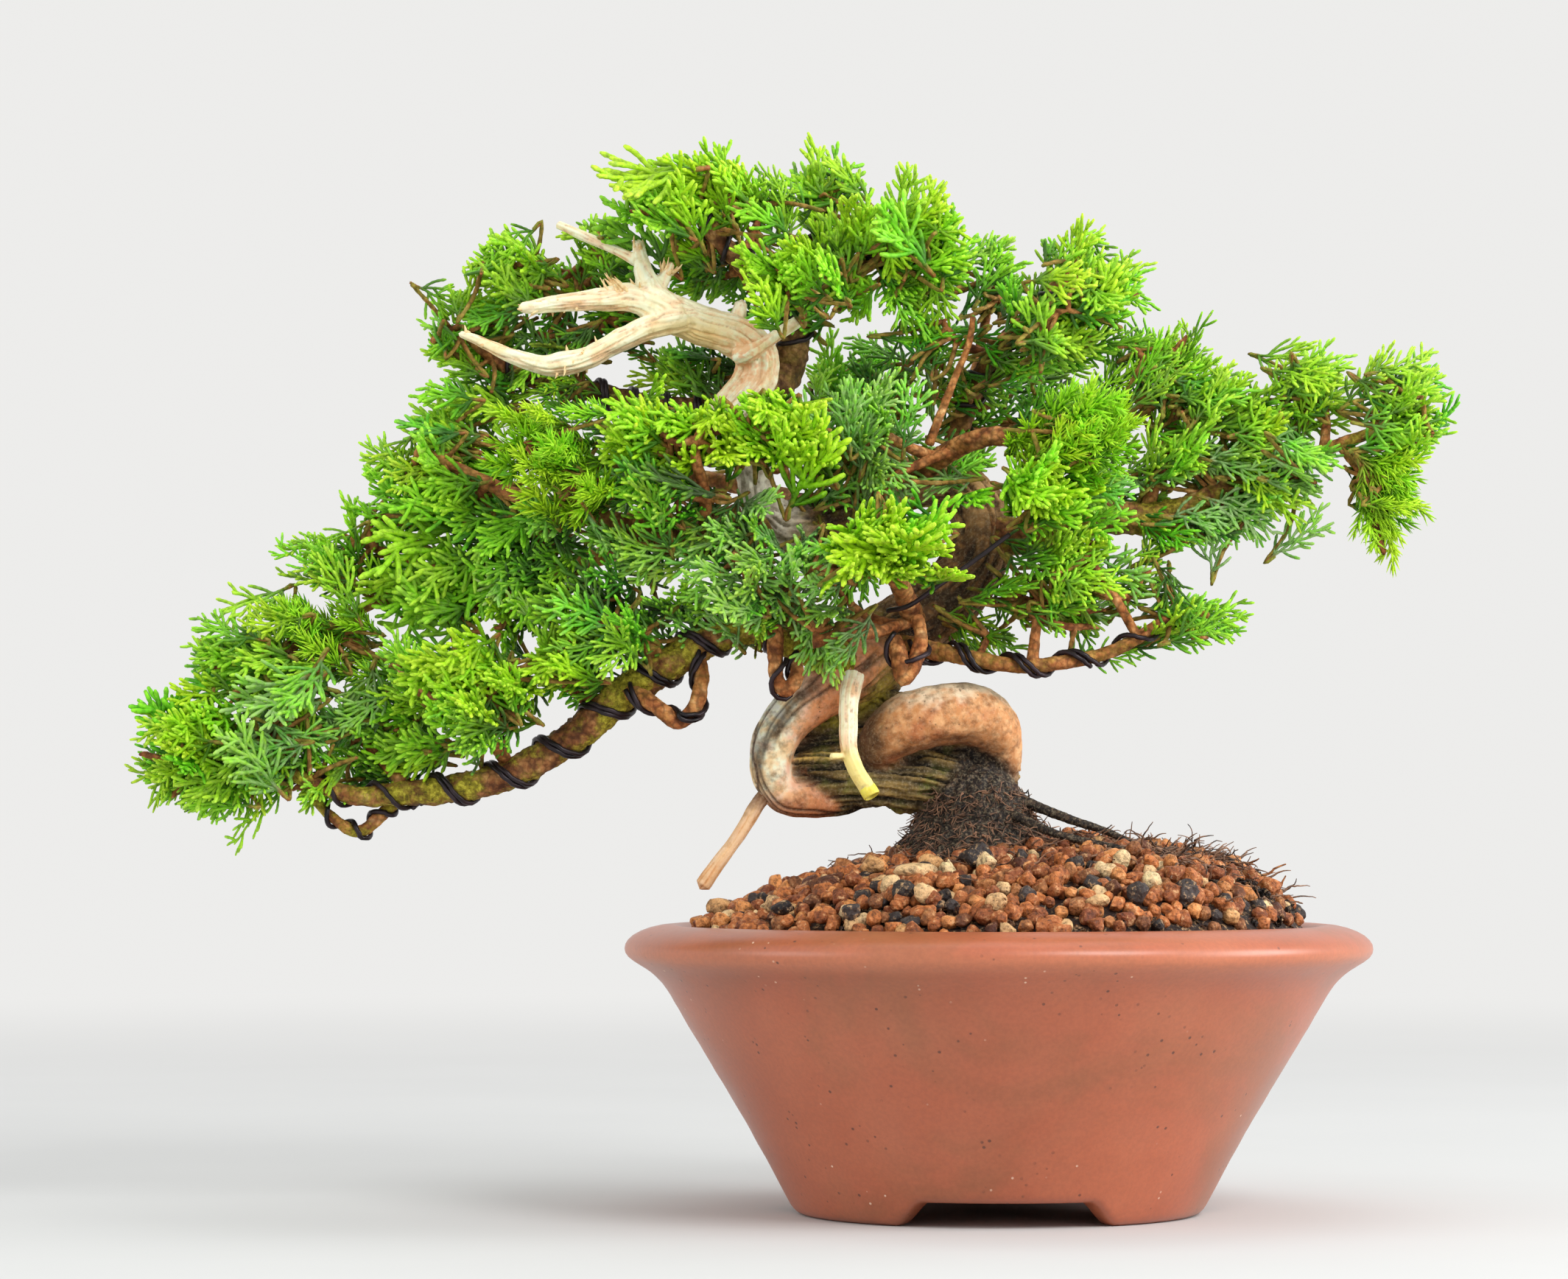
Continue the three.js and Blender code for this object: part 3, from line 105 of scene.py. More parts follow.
# pad: [x, y, z, half width, half depth, half height, tilt, sprays, style, fan direction x, y, z]
PADS = {
    "foliage_apex_left": [[-73.1, -5, 248.8, 15.33, 15, 9.63, 0, 19, 0, -0.72, -0.14, 0.68], [-88.8, -11, 242, 11.71, 12, 5.68, 12, 10, 1, -0.94, -0.27, 0.22], [-73.4, 14, 227.3, 11.23, 9, 5.43, 0, 6, 6, -0.85, 0.45, 0.29], [-98.7, 16, 239.8, 5.44, 7, 2.9, 0, 5, 5, -0.91, 0.32, 0.27], [-61.9, -2, 253.1, 4.29, 8, 4.65, 0, 5, 5, -0.49, -0.06, 0.87]],
    "foliage_apex_back": [[-40.6, 22, 253.3, 9.11, 12, 10.21, 0, 13, 1, -0.04, 0.48, 0.88], [-38.8, 18, 237.2, 5.45, 8, 4.36, 0, 5, 6, -0.02, 0.71, 0.71]],
    "foliage_apex_right": [[-24.8, 2, 242.8, 11.83, 15, 7.89, -15, 13, 1, 0.48, 0.1, 0.87], [-16.3, 6, 234, 11.15, 15, 11.15, 0, 15, 0, 0.91, 0.33, 0.25], [-18.4, 8, 218.9, 9.91, 10, 6.85, 0, 6, 5, 0.52, 0.29, -0.8], [-37.2, 4, 222.3, 7.9, 9, 4.67, 0, 6, 1, 0.15, 0.99, 0], [-15.9, 20, 210.5, 7.28, 8, 9.1, 0, 5, 3, 0.6, 0.73, 0.33], [-12, 10, 217.8, 5.41, 8, 5.41, 0, 5, 6, 0.76, 0.39, 0.52]],
    "foliage_apex_front": [[-52.9, -26, 226.5, 11.56, 12, 5.95, 0, 13, 0, -0.36, -0.83, 0.43], [-58, 4, 246.7, 6.11, 7, 7.18, 0, 5, 3, -0.38, 0.1, 0.92], [-58, 4, 218.7, 4.67, 8, 4.31, 0, 5, 6, -0.97, 0.26, 0]],
    "foliage_upper_left": [[-119.5, 12, 232.5, 10.12, 13, 9.04, 0, 11, 1, -0.8, 0.21, 0.56], [-103.8, 26, 232.2, 10.97, 11, 5.85, 0, 8, 5, -0.74, 0.43, 0.52], [-77.1, 17, 208.4, 14.16, 9, 6.17, 0, 9, 3, -0.8, 0.47, 0.37], [-93.2, 24, 232.8, 4.75, 7, 3.29, 0, 5, 6, -0.81, 0.47, 0.35], [-78, 14, 236.3, 9.05, 8, 2.9, 0, 5, 1, -0.84, 0.39, 0.38], [-126.6, 10, 231.9, 4.33, 8, 3.97, 0, 5, 5, -0.88, 0.19, 0.44], [-71.6, 12, 208.6, 9.4, 8, 3.98, 0, 5, 6, -0.81, 0.39, 0.44]],
    "foliage_upper_left_low": [[-129.2, 22, 214.8, 12.03, 13, 8.75, 0, 12, 1, -0.9, 0.44, 0], [-126.9, 14, 200.9, 9.42, 8, 3.98, 0, 5, 3, -0.94, 0.29, -0.19], [-113.8, 14, 215, 5.79, 8, 6.16, 0, 5, 6, -0.92, 0.29, 0.28], [-97.1, 16, 218.8, 8.34, 7, 3.26, 0, 5, 6, -0.9, 0.33, 0.28], [-109.4, 8, 196.7, 9.01, 8, 3.24, 0, 5, 3, -0.98, 0.18, 0], [-134.6, 16, 214.3, 3.63, 8, 6.17, 0, 5, 5, -0.94, 0.33, 0.09], [-125.8, 12, 197.6, 8.68, 8, 3.25, 0, 5, 5, -0.96, 0.26, 0.1], [-137.4, 14, 212.8, 2.54, 6, 4.71, 0, 5, 5, -0.94, 0.29, 0.19]],
    "foliage_upper_right_back": [[0.6, 40, 231.4, 9.25, 12, 10.17, 0, 11, 6, 0.51, 0.71, 0.48], [-0.1, 22, 197.9, 5.47, 9, 6.56, 0, 6, 5, 0.74, 0.57, 0.35], [-3, 14, 183.8, 5.43, 8, 3.98, 0, 5, 6, 0.88, 0.47, 0]],
    "foliage_upper_right": [[22.7, 8, 234.6, 6.85, 12, 9.37, -10, 7, 5, 0.81, 0.14, 0.57], [17, -4, 218.6, 13.2, 15, 10.35, 0, 18, 1, 0.95, -0.09, 0.31], [35, 8, 224.1, 8.29, 11, 10.45, -15, 8, 5, 0.94, 0.17, 0.28], [21, 4, 210, 13.65, 9, 4.67, 0, 9, 5, 0.98, 0.09, 0.2], [8.6, 6, 206.6, 8.99, 8, 3.6, 0, 5, 6, 0.96, 0.16, 0.25]],
    "foliage_centre_back": [[-31.2, 50, 211, 14.54, 14, 9.7, 0, 15, 6, 0.09, 0.91, 0.41], [-29.3, 52, 192.6, 15.69, 14, 9.34, 0, 16, 6, 0.12, 0.99, 0.09]],
    "foliage_centre": [[-32.2, -12, 192.9, 14.89, 14, 10.28, 0, 20, 2, 0.17, -0.46, 0.87], [-26.8, -8, 177.3, 13.16, 11, 7.11, 0, 11, 2, 0.68, -0.64, -0.36], [-48.1, -4, 186.5, 6.42, 8, 4.28, 0, 5, 3, -0.61, -0.32, 0.72], [-36.6, -6, 148, 7.12, 8, 4.27, 0, 5, 6, 0.1, -0.55, -0.83]],
    "foliage_centre_front": [[-27.7, -48, 159.4, 17.18, 16, 9.97, 0, 32, 0, 0.16, -0.98, -0.09]],
    "foliage_centre_hanging": [[-44.2, -26, 137.9, 7, 8, 10.86, 0, 8, 2, -0.1, -0.54, -0.84]],
    "foliage_centre_left": [[-63, -34, 156, 14.61, 13, 12.17, 0, 23, 2, -0.48, -0.87, -0.06], [-44.8, -38, 154.1, 6.24, 9, 6.93, 0, 6, 2, -0.13, -0.93, -0.33], [-57.5, -24, 143.2, 7.37, 7, 4.21, 0, 5, 3, -0.47, -0.77, -0.43], [-55.2, -24, 148.8, 8.77, 8, 3.51, 0, 5, 2, -0.47, -0.88, 0]],
    "foliage_left_outer": [[-136.9, 2, 188.7, 11.83, 14, 9.32, 20, 15, 1, -0.96, 0.04, 0.29], [-133.3, 2, 172.6, 17.21, 14, 8.25, 0, 16, 1, -0.99, 0.04, -0.1], [-149.2, 4, 178.4, 7.54, 10, 7.9, 0, 6, 5, -1, 0.09, 0], [-153.2, 4, 169.1, 6.11, 9, 6.11, 0, 6, 5, -0.99, 0.09, 0.1]],
    "foliage_left_mid_front": [[-113.2, -32, 184.3, 14.29, 12, 8.71, 0, 16, 4, -0.78, -0.56, 0.27], [-103.2, -30, 175.8, 12.22, 11, 9.08, 0, 12, 4, -0.83, -0.55, -0.08], [-112.4, -20, 167.6, 7.04, 9, 3.87, 0, 5, 2, -0.91, -0.41, 0]],
    "foliage_left_front": [[-84.2, -35, 188.6, 12.86, 12, 8.69, 0, 20, 0, -0.69, -0.69, 0.22], [-61.6, -33, 187.7, 16.71, 13, 8.36, -8, 25, 0, -0.47, -0.87, 0.12]],
    "foliage_left_mid": [[-85.6, -34, 170.3, 12.87, 10, 9.04, 0, 13, 6, -0.72, -0.69, -0.09], [-95.1, -22, 161.4, 7.03, 8, 3.51, 0, 5, 2, -0.89, -0.46, 0]],
    "foliage_left_spray": [[-164.9, 6, 160.6, 10.79, 10, 6.84, -15, 6, 3, -0.96, 0.13, 0.24], [-166.6, 2, 157.3, 10.4, 8, 5.02, -10, 6, 5, -0.99, 0.04, 0.1], [-174.3, 0, 147.7, 5.37, 7, 2.15, -8, 5, 4, -0.93, 0, 0.37]],
    "foliage_left_lower": [[-118.5, -6, 157.8, 21.73, 15, 9.26, 0, 24, 6, -0.99, -0.13, 0.1], [-139.1, 3, 150, 18.66, 15, 10.05, 10, 22, 1, -0.99, 0.07, -0.1], [-86.4, -20, 155, 8.8, 9, 6.34, 0, 6, 2, -0.87, -0.48, -0.11], [-116.7, -6, 146.8, 8.91, 10, 4.99, 0, 8, 2, -0.99, -0.13, 0], [-121.6, -8, 141.3, 6.76, 9, 4.62, 0, 5, 1, -0.98, -0.18, 0]],
    "foliage_far_left_top": [[-181.7, 2, 136, 13.27, 14, 8.96, 15, 15, 5, -0.97, 0.04, 0.24], [-164, 4, 140.4, 11.85, 13, 11.85, 0, 14, 4, -0.93, 0.08, 0.37], [-190.9, -4, 132, 8.56, 10, 5.71, 0, 6, 1, -1, -0.09, 0], [-173, -4, 127.6, 8.92, 9, 4.64, 0, 6, 5, -1, -0.09, 0], [-193.4, -2, 138.7, 5.72, 8, 4.65, 0, 5, 5, -0.98, -0.04, 0.2]],
    "foliage_far_left": [[-197.4, -12, 114.4, 10.63, 14, 10.99, 0, 17, 0, -0.96, -0.26, -0.1], [-178.3, -10, 115, 15.27, 16, 11.72, 0, 22, 2, -0.97, -0.21, -0.14], [-189.3, -10, 104, 17.4, 12, 7.1, 0, 13, 5, -0.81, -0.18, -0.56], [-170.3, -8, 102.2, 6.05, 9, 5.69, 0, 5, 5, -0.77, -0.14, -0.62], [-187.7, -8, 98, 10.67, 8, 5.33, 0, 6, 3, -0.7, -0.12, -0.7], [-207, -10, 110.7, 3.91, 8, 6.04, 0, 5, 5, -0.97, -0.22, -0.1], [-199.6, -10, 100.4, 4.62, 7, 3.91, 0, 5, 3, -0.63, -0.14, -0.76]],
    "foliage_left_low_inner": [[-158.8, 2, 117.9, 11.12, 14, 12.55, 0, 17, 2, -0.98, 0.04, -0.2], [-153, 2, 108, 11.83, 10, 3.94, 0, 8, 6, -1, 0.04, 0]],
    "foliage_low_left_front": [[-124.7, -26, 129.1, 18.91, 13, 9.11, 0, 27, 0, -0.86, -0.5, 0.13], [-128.9, -21, 117.6, 12.66, 12, 8.79, 0, 13, 6, -0.87, -0.41, -0.26], [-146.7, -10, 131.9, 8.17, 11, 8.17, 0, 10, 5, -0.97, -0.22, 0.1], [-146.1, -6, 116.5, 8.19, 11, 8.19, 0, 10, 1, -0.99, -0.13, 0]],
    "foliage_low_mid": [[-96.1, -24, 143.2, 17.19, 11, 12.63, 10, 23, 6, -0.87, -0.48, 0.09], [-109.6, -14, 136.2, 8.14, 9, 5.31, 0, 6, 1, -0.95, -0.3, 0.1], [-105.5, -10, 126.5, 8.52, 8, 5.68, 0, 5, 3, -0.94, -0.21, -0.28], [-74.7, -14, 145.7, 11.68, 9, 4.95, 0, 10, 2, -0.89, -0.45, 0], [-111.9, -14, 131.7, 6.37, 8, 4.6, 0, 5, 5, -0.95, -0.3, 0]],
    "foliage_right_mid_front": [[12, -30, 174, 12.91, 13, 12.22, 0, 23, 0, 0.78, -0.62, -0.09], [24.2, -30, 188, 13.61, 12, 11.52, 0, 20, 4, 0.77, -0.51, 0.38], [30.3, -18, 173, 7.05, 9, 3.88, 0, 5, 2, 0.93, -0.37, 0], [23.2, -18, 161.4, 7.76, 8, 2.47, 0, 5, 5, 0.92, -0.37, -0.09]],
    "foliage_right_centre_low": [[21.7, -14, 154.7, 15.92, 13, 10.97, 0, 12, 5, 0.95, -0.3, -0.1], [8.2, -8, 148.1, 13.51, 12, 9.6, 0, 10, 3, 0.94, -0.22, -0.25], [-1, -6, 138.9, 8.19, 8, 3.56, 0, 5, 3, 0.77, -0.17, -0.62], [24.2, -8, 141.3, 9.96, 8, 4.62, 0, 6, 3, 0.92, -0.16, -0.37], [25.8, -6, 145.7, 10.69, 8, 4.27, 0, 7, 2, 0.99, -0.13, 0], [37, -4, 155.2, 6.07, 7, 6.78, 0, 5, 3, 0.98, -0.09, 0.2]],
    "foliage_right_low_tip": [[49.8, -8, 143.1, 11.02, 12, 6.4, 20, 7, 5, 0.98, -0.18, 0], [50.5, -8, 138.9, 10.67, 8, 3.2, 10, 5, 3, 0.7, -0.12, -0.7]],
    "foliage_right_twigs": [[44.7, 8, 205.4, 14.06, 12, 9.37, 0, 12, 3, 0.74, 0.13, 0.66], [34.8, 8, 212.2, 9.01, 9, 5.41, 0, 6, 3, 0.74, 0.13, 0.66], [46.9, 8, 213.5, 4.69, 6, 6.13, 0, 5, 3, 0.58, 0.1, 0.81]],
    "foliage_right_long": [[49, 6, 185.4, 12.95, 14, 10.43, 0, 15, 5, 0.92, 0.12, 0.37], [63.2, 4, 177.2, 15.09, 14, 10.06, 0, 16, 2, 1, 0.09, 0], [44.2, 2, 164, 11.12, 10, 4.66, 10, 6, 5, 0.78, 0.03, -0.62], [62.1, 2, 169, 10.76, 9, 5.38, 0, 6, 2, 0.86, 0.04, -0.51], [57.5, 6, 199.1, 8.63, 10, 6.48, 0, 9, 5, 0.92, 0.12, 0.37], [68.1, 4, 189.6, 7.9, 9, 5.39, 0, 6, 1, 0.99, 0.09, 0.1], [63.4, 4, 197.8, 6.11, 9, 5.03, 0, 5, 5, 0.95, 0.08, 0.29], [72, 2, 171.1, 10.4, 8, 3.59, 0, 5, 5, 0.93, 0.04, -0.37], [53, 0, 164.2, 7.88, 8, 2.51, 0, 5, 2, 1, 0, -0.1]],
    "foliage_right_end": [[80.7, 8, 200, 14.06, 14, 9.01, 0, 16, 5, 0.88, 0.16, 0.44], [103, -4, 197.5, 11.06, 14, 9.63, 0, 16, 5, 0.98, -0.09, 0.2], [94.6, -8, 176.2, 11.74, 12, 8.89, 0, 13, 4, 0.88, -0.16, -0.44], [77.5, -2, 176.8, 7.15, 10, 8.58, 0, 9, 2, 0.96, -0.04, -0.29], [93.2, -8, 159.1, 1.78, 4, 3.91, 0, 3, 4, 0.32, -0.06, -0.95], [105.5, -4, 187.9, 7.49, 9, 4.64, 0, 6, 5, 1, -0.09, 0]],
    "foliage_back_left": [[-91.8, 50, 181.2, 17.9, 14, 11.19, 0, 20, 6, -0.63, 0.78, 0.07]],
    "foliage_back_right": [[17.8, 42, 197.3, 15.93, 14, 12.23, 0, 19, 6, 0.69, 0.69, 0.22]],
}

# ------------------------------------------------------------------ small tools
def srgb(r, g, b, a=1.0):
    out = []
    for c in (r, g, b):
        c = c / 255.0
        out.append(c / 12.92 if c <= 0.04045 else ((c + 0.055) / 1.055) ** 2.4)
    return (out[0], out[1], out[2], a)


def S3(r, g, b):
    return np.array(srgb(r, g, b)[:3])


def unit(v):
    v = np.asarray(v, float)
    return v / (np.linalg.norm(v, axis=-1, keepdims=True) + 1e-12)


def _hash(ix, iy, iz, seed):
    h = (ix.astype(np.uint32) * np.uint32(374761393)) ^ (iy.astype(np.uint32) * np.uint32(668265263)) ^ (iz.astype(np.uint32) * np.uint32(2246822519)) ^ np.uint32((seed * 3266489917) & 0xFFFFFFFF)
    h = (h ^ (h >> np.uint32(15))) * np.uint32(2246822519)
    h = (h ^ (h >> np.uint32(13))) * np.uint32(3266489917)
    return h ^ (h >> np.uint32(16))


def perlin(p, seed=0):
    """Value noise with smooth interpolation, about -1..1."""
    p = np.asarray(p, float)
    i = np.floor(p).astype(np.int64)
    f = p - i
    u = f * f * f * (f * (f * 6 - 15) + 10)
    out = 0
    for dx in (0, 1):
        for dy in (0, 1):
            for dz in (0, 1):
                h = _hash((i[:, 0] + dx) & 0xFFFFFFFF, (i[:, 1] + dy) & 0xFFFFFFFF, (i[:, 2] + dz) & 0xFFFFFFFF, seed)
                gx = ((h & 255).astype(float) / 127.5) - 1
                gy = (((h >> np.uint32(8)) & 255).astype(float) / 127.5) - 1
                gz = (((h >> np.uint32(16)) & 255).astype(float) / 127.5) - 1
                w = (u[:, 0] if dx else 1 - u[:, 0]) * (u[:, 1] if dy else 1 - u[:, 1]) * (u[:, 2] if dz else 1 - u[:, 2])
                out = out + w * (gx * (f[:, 0] - dx) + gy * (f[:, 1] - dy) + gz * (f[:, 2] - dz))
    return out * 1.3


def fbm(p, seed=0, octaves=4, gain=0.5):
    a, s, out = 1.0, 0.0, 0
    p = np.asarray(p, float)
    for k in range(octaves):
        out = out + a * perlin(p * (2.03 ** k), seed + 17 * k)
        s += a
        a *= gain
    return out / s


def smooth(x, a, b):
    t = np.clip((x - a) / (b - a), 0, 1)
    return t * t * (3 - 2 * t)


def mix(a, b, t):
    t = np.asarray(t)
    if t.ndim == 1:
        t = t[:, None]
    return a * (1 - t) + b * t


def spline(points, step):
    """Catmull-Rom through rows of any width, about one sample each step."""
    P = np.asarray(points, float)
    A = np.vstack([2 * P[0] - P[1], P, 2 * P[-1] - P[-2]])
    out = []
    for i in range(1, len(A) - 2):
        p0, p1, p2, p3 = A[i - 1], A[i], A[i + 1], A[i + 2]
        k = max(1, int(round(np.linalg.norm(p2[:3] - p1[:3]) / step)))
        t = np.linspace(0, 1, k, endpoint=False)[:, None]
        out.append(0.5 * (2 * p1 + (p2 - p0) * t + (2 * p0 - 5 * p1 + 4 * p2 - p3) * t ** 2 + (3 * p1 - p0 - 3 * p2 + p3) * t ** 3))
    out.append(A[-2][None])
    return np.vstack(out)


def frames(P):
    T = np.gradient(P, axis=0)
    T = unit(T)
    a = np.array([0.0, 0.0, 1.0]) if abs(T[0, 2]) < 0.9 else np.array([1.0, 0.0, 0.0])
    N = np.zeros_like(P)
    n = a
    for i in range(len(P)):
        n = n - T[i] * (n @ T[i])
        n = n / (np.linalg.norm(n) + 1e-12)
        N[i] = n
    return T, N, np.cross(T, N)


class Soup:
    """Collects vertices, quads, triangles and per-vertex values."""

    def __init__(self):
        self.V, self.Q, self.T, self.A = [], [], [], {}
        self.n = 0

    def add(self, V, Q, T, **attrs):
        m = len(V)
        self.V.append(V)
        if Q is not None and len(Q):
            self.Q.append(np.asarray(Q) + self.n)
        if T is not None and len(T):
            self.T.append(np.asarray(T) + self.n)
        for k, v in attrs.items():
            v = np.asarray(v, float)
            if v.ndim == 0:
                v = np.full(m, float(v))
            self.A.setdefault(k, []).append(v)
        self.n += m

    def arrays(self):
        V = np.vstack(self.V)
        Q = np.vstack(self.Q) if self.Q else np.zeros((0, 4), int)
        T = np.vstack(self.T) if self.T else np.zeros((0, 3), int)
        return V, Q, T, {k: np.concatenate(v) for k, v in self.A.items()}


def tube(P, R, sides=8, mod=None, point=0.7):
    """A closed round tube along P with radius R; returns vertices, quads, triangles, ring index and angle."""
    P = np.asarray(P, float)
    n = len(P)
    R = np.broadcast_to(np.asarray(R, float), (n,))
    T, N, B = frames(P)
    a = np.linspace(0, 2 * PI, sides, endpoint=False)
    ring = N[:, None, :] * np.cos(a)[None, :, None] + B[:, None, :] * np.sin(a)[None, :, None]
    RR = R[:, None] * (mod if mod is not None else 1.0)
    V = (P[:, None, :] + ring * np.broadcast_to(RR, (n, sides))[..., None]).reshape(-1, 3)
    idx = np.arange(n * sides).reshape(n, sides)
    nxt = np.roll(idx, -1, 1)
    Q = np.stack([idx[:-1], nxt[:-1], nxt[1:], idx[1:]], -1).reshape(-1, 4)
    c0, c1 = n * sides, n * sides + 1
    V = np.vstack([V, P[0] - T[0] * R[0] * 0.4, P[-1] + T[-1] * R[-1] * point])
    t0 = np.stack([np.full(sides, c0), nxt[0], idx[0]], -1)
    t1 = np.stack([np.full(sides, c1), idx[-1], nxt[-1]], -1)
    at = np.concatenate([np.repeat(np.arange(n), sides), [0, n - 1]])
    return V, Q, np.vstack([t0, t1]), at, np.concatenate([np.tile(a, n), [0, 0]])


def mesh_object(name, V, Q=None, T=None, attrs=None, colour=None, mat=None, smooth_faces=True):
    me = bpy.data.meshes.new(name)
    W = (np.asarray(V, float) * 0.001 + OFF).astype(np.float32)
    Q = np.zeros((0, 4), np.int32) if Q is None else np.asarray(Q, np.int32)
    T = np.zeros((0, 3), np.int32) if T is None else np.asarray(T, np.int32)
    nq, nt = len(Q), len(T)
    me.vertices.add(len(W))
    me.vertices.foreach_set("co", W.ravel())
    loops = np.concatenate([Q.ravel(), T.ravel()]).astype(np.int32)
    me.loops.add(len(loops))
    me.loops.foreach_set("vertex_index", loops)
    me.polygons.add(nq + nt)
    me.polygons.foreach_set("loop_start", np.concatenate([np.arange(nq) * 4, nq * 4 + np.arange(nt) * 3]).astype(np.int32))
    me.polygons.foreach_set("use_smooth", np.full(nq + nt, bool(smooth_faces)))
    me.update(calc_edges=True)
    for k, v in (attrs or {}).items():
        me.attributes.new(k, "FLOAT", "POINT").data.foreach_set("value", np.asarray(v, np.float32))
    if colour is not None:
        c = np.ones((len(W), 4), np.float32)
        c[:, :3] = np.clip(colour, 0, 1)
        me.attributes.new("Col", "FLOAT_COLOR", "POINT").data.foreach_set("color", c.ravel())
    ob = bpy.data.objects.new(name, me)
    bpy.context.scene.collection.objects.link(ob)
    if mat is not None:
        me.materials.append(mat)
    return ob


def piece(ob, slot, *nodes):
    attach(ob, "root")
    if nodes:
        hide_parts(*nodes)
    return ob


def remesh(V, Q, T, voxel, iters=2):
    """Fuses overlapping closed tubes into one skin; returns vertices, quads, triangles and edges, in mm."""
    ob = mesh_object("tmp_remesh", V, Q, T)
    md = ob.modifiers.new("r", "REMESH")
    md.mode = "VOXEL"
    md.voxel_size = voxel * 0.001
    dg = bpy.context.evaluated_depsgraph_get()
    me = bpy.data.meshes.new_from_object(ob.evaluated_get(dg))
    n = len(me.vertices)
    co = np.empty(n * 3, np.float32)
    me.vertices.foreach_get("co", co)
    co = co.reshape(-1, 3).astype(float)
    ls = np.empty(len(me.polygons), np.int32)
    lt = np.empty(len(me.polygons), np.int32)
    me.polygons.foreach_get("loop_start", ls)
    me.polygons.foreach_get("loop_total", lt)
    vi = np.empty(len(me.loops), np.int32)
    me.loops.foreach_get("vertex_index", vi)
    q = vi[ls[lt == 4][:, None] + np.arange(4)]
    t = vi[ls[lt == 3][:, None] + np.arange(3)]
    ed = np.empty(len(me.edges) * 2, np.int32)
    me.edges.foreach_get("vertices", ed)
    ed = ed.reshape(-1, 2)
    deg = np.bincount(ed.ravel(), minlength=n).astype(float)
    for k in range(iters):
        acc = np.zeros_like(co)
        for c in range(3):
            acc[:, c] = np.bincount(ed[:, 0], co[ed[:, 1], c], n) + np.bincount(ed[:, 1], co[ed[:, 0], c], n)
        co += 0.55 * (acc / deg[:, None] - co)
    bpy.data.objects.remove(ob)
    bpy.data.meshes.remove(me)
    co = (co - OFF) * 1000.0
    return co, q, t, ed


def normals(V, Q, T):
    out = np.zeros_like(V)
    for F in (Q, T):
        if len(F):
            a, b, c = V[F[:, 0]], V[F[:, 1]], V[F[:, 2]]
            d = V[F[:, 3]] if F.shape[1] == 4 else a
            nrm = np.cross(c - a, (d - b) if F.shape[1] == 4 else (b - a) * -1.0)
            if F.shape[1] == 3:
                nrm = np.cross(b - a, c - a)
            for k in range(F.shape[1]):
                for ax in range(3):
                    out[:, ax] += np.bincount(F[:, k], nrm[:, ax], len(V))
    return unit(out)


def nearest(V, C, chunk=20000):
    """Index of the nearest row of C to each row of V, and the distance."""
    idx = np.empty(len(V), int)
    dist = np.empty(len(V))
    c2 = (C ** 2).sum(1)
    for s in range(0, len(V), chunk):
        v = V[s : s + chunk]
        d = (v ** 2).sum(1)[:, None] - 2 * v @ C.T + c2[None]
        i = d.argmin(1)
        idx[s : s + chunk] = i
        dist[s : s + chunk] = np.sqrt(np.maximum(d[np.arange(len(v)), i], 0))
    return idx, dist


class Limb:
    def __init__(self, points, step=0.6):
        D = spline(points, step)
        self.P, self.R = D[:, :3], np.maximum(D[:, 3], 0.15)
        self.T, self.N, self.B = frames(self.P)
        self.s = np.concatenate([[0], np.cumsum(np.linalg.norm(np.diff(self.P, axis=0), axis=1))])

    def coords(self, V):
        i, d = nearest(V, self.P)
        w = V - self.P[i]
        ang = np.arctan2((w * self.B[i]).sum(1), (w * self.N[i]).sum(1))
        return i, d - self.R[i], self.s[i], ang

    def grain(self, V, across, along, seed, co=None):
        """Noise drawn out along the limb: across and along are cycles per mm."""
        i, d, s, a = co if co is not None else self.coords(V)
        r = self.R[i]
        q = np.stack([np.cos(a) * r * across, np.sin(a) * r * across, s * along + seed * 3.1], 1)
        return fbm(q, seed, 3)


# ------------------------------------------------------------------ materials
def new_mat(name):
    m = bpy.data.materials.new(name)
    m.use_nodes = True
    nt = m.node_tree
    nt.nodes.clear()
    out = nt.nodes.new("ShaderNodeOutputMaterial")
    bs = nt.nodes.new("ShaderNodeBsdfPrincipled")
    nt.links.new(bs.outputs[0], out.inputs[0])
    return m, nt, bs


